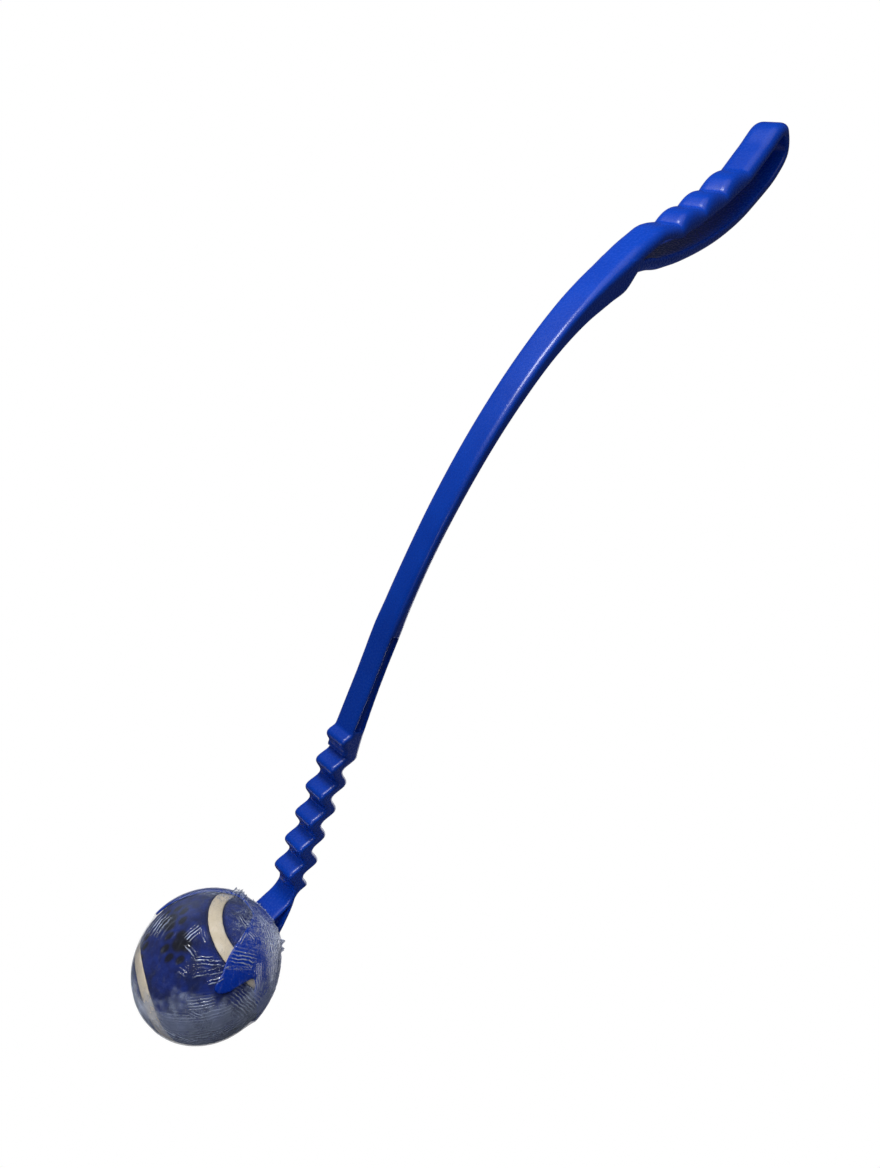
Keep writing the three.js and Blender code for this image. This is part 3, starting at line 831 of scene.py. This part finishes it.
# A crowned strip whose two edges wander a little, and whose steady middle doesn't
def seamStrip():
    line, sides = seamCurve(seam["stripSamples"])
    half, top, foot = seam["width"] / 2, seam["top"], seam["foot"]
    wander = noiseAt(line, seam["wanderSize"]) * seam["wander"]
    right = [(half / 2, top + seam["flank"]), *((half - inset, top + rise) for inset, rise in seamRim),
             (half, foot - seam["sunk"])]
    section = [(-across, radius) for across, radius in reversed(right)]
    section += [(0, top + seam["crown"])] + right
    rings = []
    for out, side, extra in zip(line, sides, wander):
        ring = []
        for across, radius in section:
            shift = math.copysign(extra, across) * (abs(across) > seam["steady"])
            ring.append(unit(out * ball["radius"] + side * (across + shift)) * radius)
        rings.append(np.array(ring))
    strip = loft("seamGlue", rings, True)
    strip.data.vertices.foreach_set("co", toRow(coordsOf(strip.data)).ravel())
    strip.data.update()
    smoothShade(strip)
    return strip


# Wool felt: a matt nap over a mottled dye, with the prints worn into it and a painted shade beside the
# seam
feltLook = {"dye": ("0a1e72", "12349a"), "lint": ("081448", "2c4cae"), "linty": 0.35, "mottle": "081334",
            "paintedSeamShade": "0c1a4c", "ink": "111216", "roughness": 0.95, "nap": 0.7, "sheen": 0.05,
            "sheenRoughness": 0.5}


def feltCloth():
    material = newMaterial("blueFelt")
    place = placeNode(material)
    mix = partial(mixNode, material, "RGB")
    fibre = noiseNode(material, place, 2600, 4, Roughness=0.7, Distortion=1.5)
    dye = rampNode(material, noiseNode(material, place, 420, 3), zip((0.3, 0.7), feltLook["dye"]))
    lint = rampNode(material, fibre, zip((0.35, 0.75), feltLook["lint"]))
    patchy = rangeNode(material, noiseNode(material, place, 150, 2), 0.42, 0.62, 0, 0.6)
    worn = rangeNode(material, fibre, 0.3, 0.6, 0.8, 1)
    inked = mathNode(material, "MULTIPLY", markNode(material, "ink"), worn)
    colour = mix(patchy, mix(feltLook["linty"], dye, lint), feltLook["mottle"])
    # Painted shade: the felt turns darker blue beside the seam
    colour = mix(markNode(material, "paintedSeamShade"), colour, feltLook["paintedSeamShade"])
    colour = mix(inked, colour, feltLook["ink"])
    bump = bumpNode(material, fibre, feltLook["nap"], 0.0004)
    return finished(material, principledNode(
        material, colour, feltLook["roughness"], bump, Sheen_Weight=feltLook["sheen"],
        Sheen_Roughness=feltLook["sheenRoughness"],
    ))


# Seam glue: cream rubber cement, slightly cracked across and dusty
glueLook = {"colours": ("e6d8bc", "f2e5ce", "f8efe0"), "roughness": 0.7, "cracks": 0.4}


def seamRubber():
    material = newMaterial("creamSeamGlue")
    place = placeNode(material)
    cloud = noiseNode(material, place, 160, 4)
    colour = rampNode(material, cloud, zip((0.3, 0.55, 0.75), glueLook["colours"]))
    height = mathNode(material, "ADD", cloud, noiseNode(material, place, 1500, 3))
    bump = bumpNode(material, height, glueLook["cracks"], 0.0004)
    return finished(material, principledNode(material, colour, glueLook["roughness"], bump))


# Core rubber: black, pressed, with a fine grain
rubberLook = {"colours": ("1b1b1d", "34343a"), "roughness": 0.75, "grain": 0.3}


def coreRubber():
    material = newMaterial("pressedRubber")
    grain = noiseNode(material, placeNode(material), 700, 4)
    colour = rampNode(material, grain, zip((0.35, 0.7), rubberLook["colours"]))
    bump = bumpNode(material, grain, rubberLook["grain"], 0.0003)
    return finished(material, principledNode(material, colour, rubberLook["roughness"], bump))


cloth = feltCloth()
for panel, node in zip(feltPanels(), ("ball_felt_panel_a", "ball_felt_panel_b")):
    panel.data.materials.append(cloth)
    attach(panel, "ball")
    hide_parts(node)
strip = seamStrip()
strip.data.materials.append(seamRubber())
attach(strip, "ball")
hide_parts("ball_seam")
rubber = coreRubber()
for node in ("ball_core_half_a", "ball_core_half_b"):
    for slot in frame["nodes"][node].material_slots:
        slot.material = rubber
print("ball made")

# Film: one skin over the ball in the mouth and the cup behind it, open round the head. It is
# drawn tight in a number of passes: each point goes to the mean height of its neighbours, but not
# below the ball or the cup. Then its crumpled places, waves, folds and tufts raise it.

film = {"overBall": 31.45, "overCup": 32.6, "overRim": 0.4, "gap": 0.4, "passes": 40, "standOff": 2.6,
        "crinkle": 0.5, "waver": 0.1, "foldRise": 0.08, "openStart": 6, "fineSize": 0.07,
        "broadSize": 0.22}
filmMarks = ["crumple", "milk", "foldPhase", "foldDepth", "doubled"]


def onCup(directions):
    inCup = rotated(directions, -cup["turn"])
    angle = np.degrees(np.abs(np.arctan2(inCup[:, 2], inCup[:, 0])))
    rim = np.array([rimLine(a) for a in angle])
    return inCup[:, 1] * cup["outer"] < rim * ball["radius"] + film["overRim"]


def patch(directions, centre, spread):
    away = np.arccos(np.clip(directions @ unit(centre), -1, 1)) * ball["radius"]
    return np.exp(-(away / spread) ** 2)


def patches(directions, places):
    return sum(strength * patch(directions, centre, spread) for centre, spread, strength in places)


# Crumpled and milky places: centre, spread in millimetres and strength. The film stands off the
# ball at the first of the crumpled ones, beside the head.
crumplePlaces = [
    ((0.72, -0.5, 0.48), 7, 1), ((0.72, -0.5, -0.48), 7, 1), ((0.93, -0.15, 0.35), 9, 0.55),
    ((0.45, -0.68, 0.58), 10, 1), ((0.1, -0.6, 0.8), 9, 0.5), ((0.93, -0.15, -0.35), 9, 0.6),
]
milkPlaces = [
    ((0.8, 0.45, -0.35), 9, 0.12), ((-0.35, 0.75, -0.6), 10, 0.75), ((0.6, -0.65, 0.45), 8, 0.3),
    ((-0.26, 0.93, -0.24), 5, 0.5), ((-0.4, 0.91, 0.05), 4.5, 0.45),
]
# The hazy side lies away from this direction, and fades in between start and end
haze = {"away": (0.911, 0.146, -0.384), "start": -0.1, "end": 0.2, "strength": 0.42, "crumpled": 0.08,
        "broadEdge": 0.2, "fineEdge": 0.08, "even": 0.88, "broadMottle": 0.2, "fineMottle": 0.15}

# Folds: sets of fine ridges side by side. Each has the two ends of its middle ridge, how far it
# reaches across in millimetres, the ridges' pitch and its strength.
folds = [
    ((0.69, 0.7, 0.13), (0.85, 0.51, 0.11), 1.5, 1.3, 1),
    ((0.846, 0.518, 0.128), (0.774, 0.538, 0.335), 0.5, 1.4, 0.6),
    ((0.666, 0.725, 0.175), (0.625, 0.672, 0.397), 0.6, 1.4, 0.7),
    ((0.596, 0.702, 0.39), (0.668, 0.502, 0.549), 0.63, 1.22, 1),
    ((0.576, 0.683, 0.449), (0.65, 0.421, 0.633), 1.15, 1.31, 0.5),
    ((0.43, 0.741, 0.515), (0.642, 0.315, 0.699), 0.46, 1.57, 1),
    ((0.522, 0.573, 0.632), (0.589, 0.406, 0.698), 0.8, 1.05, 0.8),
    ((0.418, 0.595, 0.686), (0.522, 0.41, 0.748), 0.69, 1.22, 0.7),
    ((0.609, 0.392, 0.689), (0.575, -0.089, 0.813), 0.46, 1.75, 0.4),
    ((0.428, 0.836, 0.344), (0.417, 0.782, 0.464), 0.92, 1.75, 0.3),
    ((0.38, 0.83, -0.41), (0.62, 0.6, -0.5), 5.5, 2.5, 0.7),
    ((0.388, 0.304, 0.87), (0.032, -0.14, 0.99), 4.5, 1.3, 0.32),
    ((0.085, 0.757, 0.648), (0.25, 0.47, 0.847), 2.8, 1.25, 0.35),
    ((0.03, 0.727, 0.685), (0.003, 0.559, 0.829), 1.8, 1.1, 0.3),
    ((0.718, 0.337, 0.609), (0.641, -0.059, 0.766), 3, 1.4, 0.35),
    ((0.861, -0.352, 0.368), (0.298, -0.332, 0.895), 3.5, 0.95, 0.55),
    ((0.681, -0.435, 0.589), (0.195, -0.515, 0.835), 3, 0.8, 0.6),
    ((0.656, -0.08, 0.751), (0.332, -0.074, 0.941), 2, 0.9, 0.4),
    ((0.849, -0.391, -0.356), (0.844, -0.307, 0.44), 3.5, 1, 0.5),
    ((-0.1, 0.791, -0.603), (-0.536, 0.84, 0.079), 2.5, 1.7, 0.6),
    ((-0.371, 0.893, 0.254), (-0.524, 0.482, 0.702), 2.8, 1.5, 0.5),
    ((-0.408, 0.779, 0.477), (-0.524, 0.166, 0.836), 2.2, 1.4, 0.5),
    ((-0.495, 0.035, 0.868), (0.024, -0.224, 0.974), 2.5, 1.2, 0.45),
    ((0.604, 0.451, -0.656), (0.855, 0.035, -0.517), 2, 1.3, 0.35),
    ((0.939, -0.22, -0.263), (0.848, -0.459, -0.265), 1.72, 1.05, 0.9),
    ((0.978, -0.022, 0.209), (0.913, -0.035, 0.406), 0.57, 1.22, 0.9),
    ((0.885, -0.006, 0.466), (0.827, -0.071, 0.558), 0.69, 1.05, 1),
    ((0.938, -0.347, 0.023), (0.905, -0.333, 0.266), 0.69, 1.4, 0.7),
    ((0.81, 0.178, 0.559), (0.876, 0.051, 0.479), 0.57, 1.4, 0.6),
    ((-0.6, 0.75, 0.28), (-0.9, 0.42, 0.1), 1.72, 1.57, 0.6),
    ((-0.4, 0.2, -0.9), (-0.1, 0.7, -0.7), 2, 1, 0.6),
    ((0.2, -0.9, -0.3), (-0.3, -0.8, -0.5), 2.5, 1.2, 0.5),
    ((0.7, -0.3, -0.65), (0.1, -0.4, -0.9), 4, 1, 0.5),
    ((-0.5, -0.7, 0.5), (-0.9, -0.3, 0.3), 3, 1.3, 0.5),
    ((-0.9, 0.1, -0.4), (-0.6, -0.6, -0.5), 3, 1.4, 0.5),
    ((-0.5, 0.78, 0.38), (0.02, -0.16, 0.99), 4, 1.7, 0.14),
    ((-0.2, 0.89, 0.4), (0.24, 0.09, 0.97), 3, 1.5, 0.16),
    ((0.6, 0.3, -0.74), (0.965, 0, -0.26), 2, 0.9, 0.45),
    ((0.5, -0.7, 0.5), (0.05, -0.75, 0.66), 3, 0.9, 0.4),
    ((0.1, 0.9, -0.4), (0.4, 0.6, -0.7), 3, 1.2, 0.6),
    ((0.5, 0.1, -0.85), (0.2, 0.4, -0.9), 3, 1.1, 0.5),
]
# Crests: the film's loose end, which stands off the ball in thin tufts. Each has its two ends,
# its height and its half width in millimetres.
crests = [
    ((0.945, -0.2, -0.26), (0.97, -0.24, -0.06), 5, 0.4),
    ((0.975, -0.12, -0.17), (0.93, -0.33, -0.16), 3.8, 0.35),
    ((0.92, -0.3, -0.25), (0.95, -0.31, 0.02), 4.4, 0.35),
    ((0.965, -0.2, -0.02), (0.93, -0.34, -0.1), 3.4, 0.35),
    ((0.66, -0.53, 0.53), (0.57, -0.62, 0.54), 3, 0.5),
    ((0.6, -0.55, 0.58), (0.46, -0.7, 0.55), 2.6, 0.5),
]
# Collar: the ragged edge round the head. The last four values are the marks that its points get.
collar = {"rows": 3, "height": 1.1, "tuftHeight": 4.5, "tuftSpread": 3.5, "pleats": 9,
          "tufts": [(0.96, -0.26, -0.13), (0.6, -0.62, 0.5)],
          "least": 0.55, "ragged": 0.9, "raggedSize": 1.3, "frayed": 0.3, "frayedSize": 0.5,
          "flutter": 1.1, "flutterSize": 1.7, "lean": 0.2,
          "crumple": 0.9, "milk": 0.1, "foldDepth": 0.4, "doubled": 1}


def foldRidges(directions):
    phase, depth = np.zeros(len(directions)), np.zeros(len(directions))
    for start, end, reach, pitch, strength in folds:
        a, b = unit(start), unit(end)
        middle, along = unit(a + b), unit(b - a)
        across = np.cross(middle, along)
        t = (directions - middle) @ along / (np.linalg.norm(b - a) / 2)
        v = directions @ across * ball["radius"]
        own = np.clip(1 - np.abs(t) ** 3, 0, 1) * np.exp(-(v / reach) ** 2) * strength
        own[directions @ middle < 0] = 0
        better = own > depth
        phase[better] = v[better] / pitch
        depth[better] = own[better]
    return phase, depth


def looseTufts(directions):
    loose = np.zeros(len(directions))
    for start, end, height, halfWidth in crests:
        a, b = unit(start), unit(end)
        t = np.clip((directions - a) @ (b - a) / ((b - a) @ (b - a)), 0, 1)
        away = np.linalg.norm(directions - a - t[:, None] * (b - a), axis=1) * ball["radius"]
        taper = np.sin(math.pi * np.clip(t, 0.05, 0.95))
        loose = np.maximum(loose, height * np.exp(-(away / halfWidth) ** 2) * taper)
    return loose


# The film's open end: a ragged collar that stands up round the head, tallest at two tufts. It
# starts at the edges that only one of the film's faces has.
def raggedCollar(points, directions, faces, middles, start, places):
    loops = np.concatenate([faces[:, [0, 1]], faces[:, [1, 2]], faces[:, [2, 0]]])
    _, same, times = np.unique(np.sort(loops, axis=1), axis=0, return_inverse=True, return_counts=True)
    loops = loops[times[same.ravel()] == 1]
    edge = np.unique(loops)
    foot, out = points[edge], directions[edge]
    away = np.column_stack([np.zeros(len(edge)), foot[:, 1] - middles[edge], foot[:, 2]])
    around = np.arctan2(away[:, 2], away[:, 1])
    away = unit(away)
    tufts = sum(patch(out, centre, collar["tuftSpread"]) for centre in collar["tufts"])
    length = collar["height"] + collar["tuftHeight"] * np.clip(tufts, 0, 1)
    ragged = collar["ragged"] * np.abs(noiseAt(foot, collar["raggedSize"], 2))
    length *= collar["least"] + ragged + collar["frayed"] * noiseAt(foot, collar["frayedSize"])
    flutter = noiseAt(foot, collar["flutterSize"], 2) * collar["flutter"] + collar["lean"]
    rows = [foot + out * (length * t)[:, None] + away * (flutter * t * length)[:, None]
            for t in np.linspace(0, 1, collar["rows"] + 1)[1:]]
    index = [{v: places[v] for v in edge.tolist()}]
    for i in range(collar["rows"]):
        first = start + i * len(edge)
        index.append(dict(zip(edge.tolist(), range(first, first + len(edge)))))
    quads = [
        (below[b], below[a], above[a], above[b])
        for below, above in zip(index, index[1:]) for a, b in loops.tolist()
    ]
    count = len(edge) * collar["rows"]
    marks = {name: np.full(count, collar[name]) for name in ("crumple", "milk", "foldDepth", "doubled")}
    marks["foldPhase"] = np.tile(around * collar["pleats"], collar["rows"])
    return quads, np.vstack(rows), np.column_stack([marks[name] for name in filmMarks])


def shrinkFilm():
    directions, faces, edges = globe(ball["detail"])
    doubled = onCup(directions)
    held = np.where(doubled, film["overCup"], film["overBall"])
    radius = held.copy()
    counts = np.bincount(edges.ravel(), minlength=len(radius))
    for _ in range(film["passes"]):
        total = np.bincount(edges[:, 0], radius[edges[:, 1]], len(radius))
        total += np.bincount(edges[:, 1], radius[edges[:, 0]], len(radius))
        radius = np.maximum(held, total / counts)
    crumpled = np.clip(patches(directions, crumplePlaces), 0, 1)
    radius += film["standOff"] * patches(directions, crumplePlaces[:1])
    fine = noiseAt(directions, film["fineSize"], 3)
    broad = noiseAt(directions + 3, film["broadSize"], 2)
    radius += crumpled * film["crinkle"] * np.abs(fine) + film["waver"] * (1 + broad)
    loose = looseTufts(directions)
    radius += loose * (0.8 + 0.6 * fine)
    crumpled = np.clip(crumpled + 0.6 * loose, 0, 1)
    phase, depth = foldRidges(directions)
    radius += film["foldRise"] * depth
    uneven = haze["broadEdge"] * broad + haze["fineEdge"] * fine
    hazy = smoothstep(uneven - directions @ unit(haze["away"]), haze["start"], haze["end"])
    mottle = haze["even"] + haze["broadMottle"] * broad + haze["fineMottle"] * fine
    hazy = haze["strength"] * hazy * mottle
    milky = np.clip(hazy + haze["crumpled"] * crumpled + patches(directions, milkPlaces), 0, 1)
    points = directions * radius[:, None]
    width = np.array([headWidthLine(x) for x in points[:, 0]]) + film["gap"]
    high = np.array([headHighLine(x) for x in points[:, 0]]) + film["gap"]
    low = np.array([headLowLine(x) for x in points[:, 0]]) - film["gap"]
    beyond = np.maximum(np.abs(points[:, 2]) - width, np.maximum(points[:, 1] - high, low - points[:, 1]))
    outside = (beyond > 0) | (points[:, 0] < film["openStart"])
    kept = faces[outside[faces].all(1)]
    used = np.unique(kept)
    places = renumber(used, len(points))
    quads, standing, standingMarks = raggedCollar(
        points, directions, kept, (high + low) / 2, len(used), places,
    )
    skin = makeMesh("shrinkFilm", toRow(np.vstack([points[used], standing])),
                    [*places[kept].tolist(), *quads])
    smoothShade(skin)
    marks = np.column_stack([crumpled, milky, phase, depth, doubled])[used]
    for name, values in zip(filmMarks, np.vstack([marks, standingMarks]).T):
        paint(skin, name, values)
    return skin


# Clear film: a thin gloss over what lies beneath, white where it is hazy, white along its creases,
# crinkles and fold ridges, partly as whitened film and partly as painted highlights, white at bright
# specks as painted glints, with a painted sheen of white at grazing angles, and a little grey over the
# cup. Each way that the creases run has its turn, its scales along and across, and the creases' width.
# The rise and the whitening and painted highlights have a share for each kind of mark.
filmLook = {
    "white": "cbdaff", "whiteRoughness": 0.2, "glossRoughness": 0.12, "clear": "ffffff",
    "doubled": "e8eaf2", "ior": 1.45, "bump": 0.8, "wander": 1.2, "ridges": 1.7,
    "rise": {"crinkle": 0.8, "sparse": 0.25, "wander": 0.4},
    "whiteningAndHighlights": {"crinkle": 1.3, "paintedGlints": 0.9, "sparse": 0.1, "paintedSheen": 0.3},
    "creases": [((0.3, 0.5, 1.1), 60, 400, 0.02), ((1.2, 0.2, 0.2), 80, 380, 0.018),
                ((0.2, 1.3, 2.2), 60, 440, 0.02)],
    "sparse": ((0.7, 0.9, 0.4), 30, 300, 0.012),
}


def clearFilm():
    material = newMaterial("clearShrinkFilm")
    place = placeNode(material)
    calc = partial(mathNode, material)
    times, plus = partial(calc, "MULTIPLY"), partial(calc, "ADD")

    # Creases that run one way: the lines where a drawn-out noise crosses its middle
    def creaseField(turn, along, across, width):
        drawn = addNode(material, "ShaderNodeMapping", i0=place, Rotation=turn,
                        Scale=(along, across, across))
        cloud = noiseNode(material, drawn.outputs[0], 1, 2, Distortion=0.4)
        away = calc("ABSOLUTE", calc("SUBTRACT", cloud, 0.5), 0)
        return rangeNode(material, away, 0, width, 1, 0)

    crumple, milk, phase, depth, doubled = (markNode(material, name) for name in filmMarks)
    wander = noiseNode(material, place, 260, 2)
    web = calc("MAXIMUM", *(creaseField(*crease) for crease in filmLook["creases"]))
    sparse = creaseField(*filmLook["sparse"])
    # Painted glints: bright specks in the crumpled places
    cells = addNode(material, "ShaderNodeTexVoronoi", Vector=place, Scale=330).outputs["Distance"]
    crinkle = times(web, crumple)
    paintedGlints = times(rangeNode(material, cells, 0.1, 0.2, 1, 0), crumple)

    # The folds' ridges: the crests of a wave that wanders and is broken here and there
    turns = plus(phase, times(wander, filmLook["wander"]))
    wave = calc("SINE", times(turns, 2 * math.pi), 0)
    comb = rangeNode(material, wave, 0.1, 0.8, 0, 1, "SMOOTHSTEP")
    broken = rangeNode(material, noiseNode(material, place, 420, 1), 0.34, 0.48, 0.4, 1)
    ridge = times(times(comb, broken), times(depth, filmLook["ridges"]), clamp=True)

    rise = filmLook["rise"]
    height = plus(ridge, times(crinkle, rise["crinkle"]), times(sparse, rise["sparse"]),
                  times(wander, rise["wander"]))
    bump = bumpNode(material, height, filmLook["bump"], 0.0005)
    white = principledNode(material, filmLook["white"], filmLook["whiteRoughness"], bump,
                           Specular_IOR_Level=1)
    gloss = addNode(material, "ShaderNodeBsdfGlossy", Color=(1, 1, 1, 1), Normal=bump,
                    Roughness=filmLook["glossRoughness"]).outputs[0]
    tint = rampNode(material, doubled, [(0, filmLook["clear"]), (1, filmLook["doubled"])])
    clear = addNode(material, "ShaderNodeBsdfTransparent", Color=tint).outputs[0]
    fresnel = addNode(material, "ShaderNodeFresnel", IOR=filmLook["ior"], Normal=bump).outputs[0]
    shine = plus(times(calc("MAXIMUM", ridge, crinkle), 0.8), 0.1, clamp=True)
    shine = plus(times(fresnel, shine), times(ridge, 0.3), clamp=True)
    sheet = mixNode(material, "Shader", shine, clear, gloss)

    # Painted sheen: white mixed in where the film is seen at grazing angles
    paintedSheen = addNode(material, "ShaderNodeLayerWeight", Blend=0.25).outputs["Facing"]
    trough = times(calc("SUBTRACT", 1, comb), depth)
    milkyBody = times(milk, calc("SUBTRACT", 1, times(trough, 0.6)))
    whiteningAndHighlights = filmLook["whiteningAndHighlights"]
    # The white share: the film's milky haze, plus painted highlights along ridges, crinkles and sparse
    # creases, painted glints at specks and the painted sheen
    body = plus(
        milkyBody, ridge, times(crinkle, whiteningAndHighlights["crinkle"]), times(paintedGlints, whiteningAndHighlights["paintedGlints"]),
        times(sparse, whiteningAndHighlights["sparse"]), times(calc("POWER", paintedSheen, 3), whiteningAndHighlights["paintedSheen"]),
        clamp=True,
    )
    return finished(material, mixNode(material, "Shader", body, sheet, white))


skin = shrinkFilm()
skin.data.materials.append(clearFilm())
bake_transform(skin)
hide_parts("shrink_film")
print("film made")

# Floor and light. The floor lies well below: in the photograph the launcher touches nothing.

floorSizes = {"half": 6.0, "drop": 0.5}  # in metres
corners = [(-1, -1), (1, -1), (1, 1), (-1, 1)]
floor = makeMesh("floor", [
    (x * floorSizes["half"], y * floorSizes["half"], -floorSizes["drop"]) for x, y in corners
], [(0, 1, 2, 3)])
paper = newMaterial("whitePaper")
diffuse = addNode(paper, "ShaderNodeBsdfDiffuse", Color="b4b6bb").outputs[0]
glow = addNode(paper, "ShaderNodeEmission", Color=(1, 1, 1, 1), Strength=1).outputs[0]
seen = addNode(paper, "ShaderNodeLightPath").outputs["Is Camera Ray"]
floor.data.materials.append(finished(paper, mixNode(paper, "Shader", seen, diffuse, glow)))

# The camera sees white all round, and the ambient light is faint and cool
world = bpy.data.worlds.new("World")
world.use_nodes = True
world.node_tree.nodes.clear()
bpy.context.scene.world = world
ambient = addNode(world, "ShaderNodeBackground", Color=(0.95, 0.97, 1, 1), Strength=0.07).outputs[0]
backdrop = addNode(world, "ShaderNodeBackground", Color=(1, 1, 1, 1)).outputs[0]
seen = addNode(world, "ShaderNodeLightPath").outputs["Is Camera Ray"]
addNode(world, "ShaderNodeOutputWorld", Surface=mixNode(world, "Shader", seen, ambient, backdrop))

# Lamps: name, place and target in the launcher's frame, size in metres, power in watts and
# spread in degrees
lamps = [
    ("keyBox", (570, 215, -60), (380, -80, 0), 0.16, 1.2, 180),
    ("topBox", (770, 300, 30), (430, -110, 0), 0.7, 1.2, 180),
    ("fillBox", (170, 300, 120), (-15, 10, 20), 0.2, 0.044, 35),
    ("rimBox", (20, -420, 10), (10, 0, 0), 0.3, 0.6, 180),
    ("leftBox", (-350, 170, -170), (0, 0, 0), 0.3, 0.3, 180),
    ("cameraLamp", (250, 420, 420), (250, -60, 0), 0.1, 0.1, 180),
]
for name, place, target, size, power, spread in lamps:
    data = bpy.data.lights.new(name, "AREA")
    data.size = size
    data.energy = power
    data.spread = math.radians(spread)
    lamp = bpy.data.objects.new(name, data)
    lamp.location = rowPoint(*place)
    way = rowPoint(*target) - lamp.location
    lamp.rotation_euler = way.to_track_quat("-Z", "Y").to_euler()
    bpy.context.scene.collection.objects.link(lamp)

bpy.context.scene.view_settings.view_transform = "Standard"
print("done")
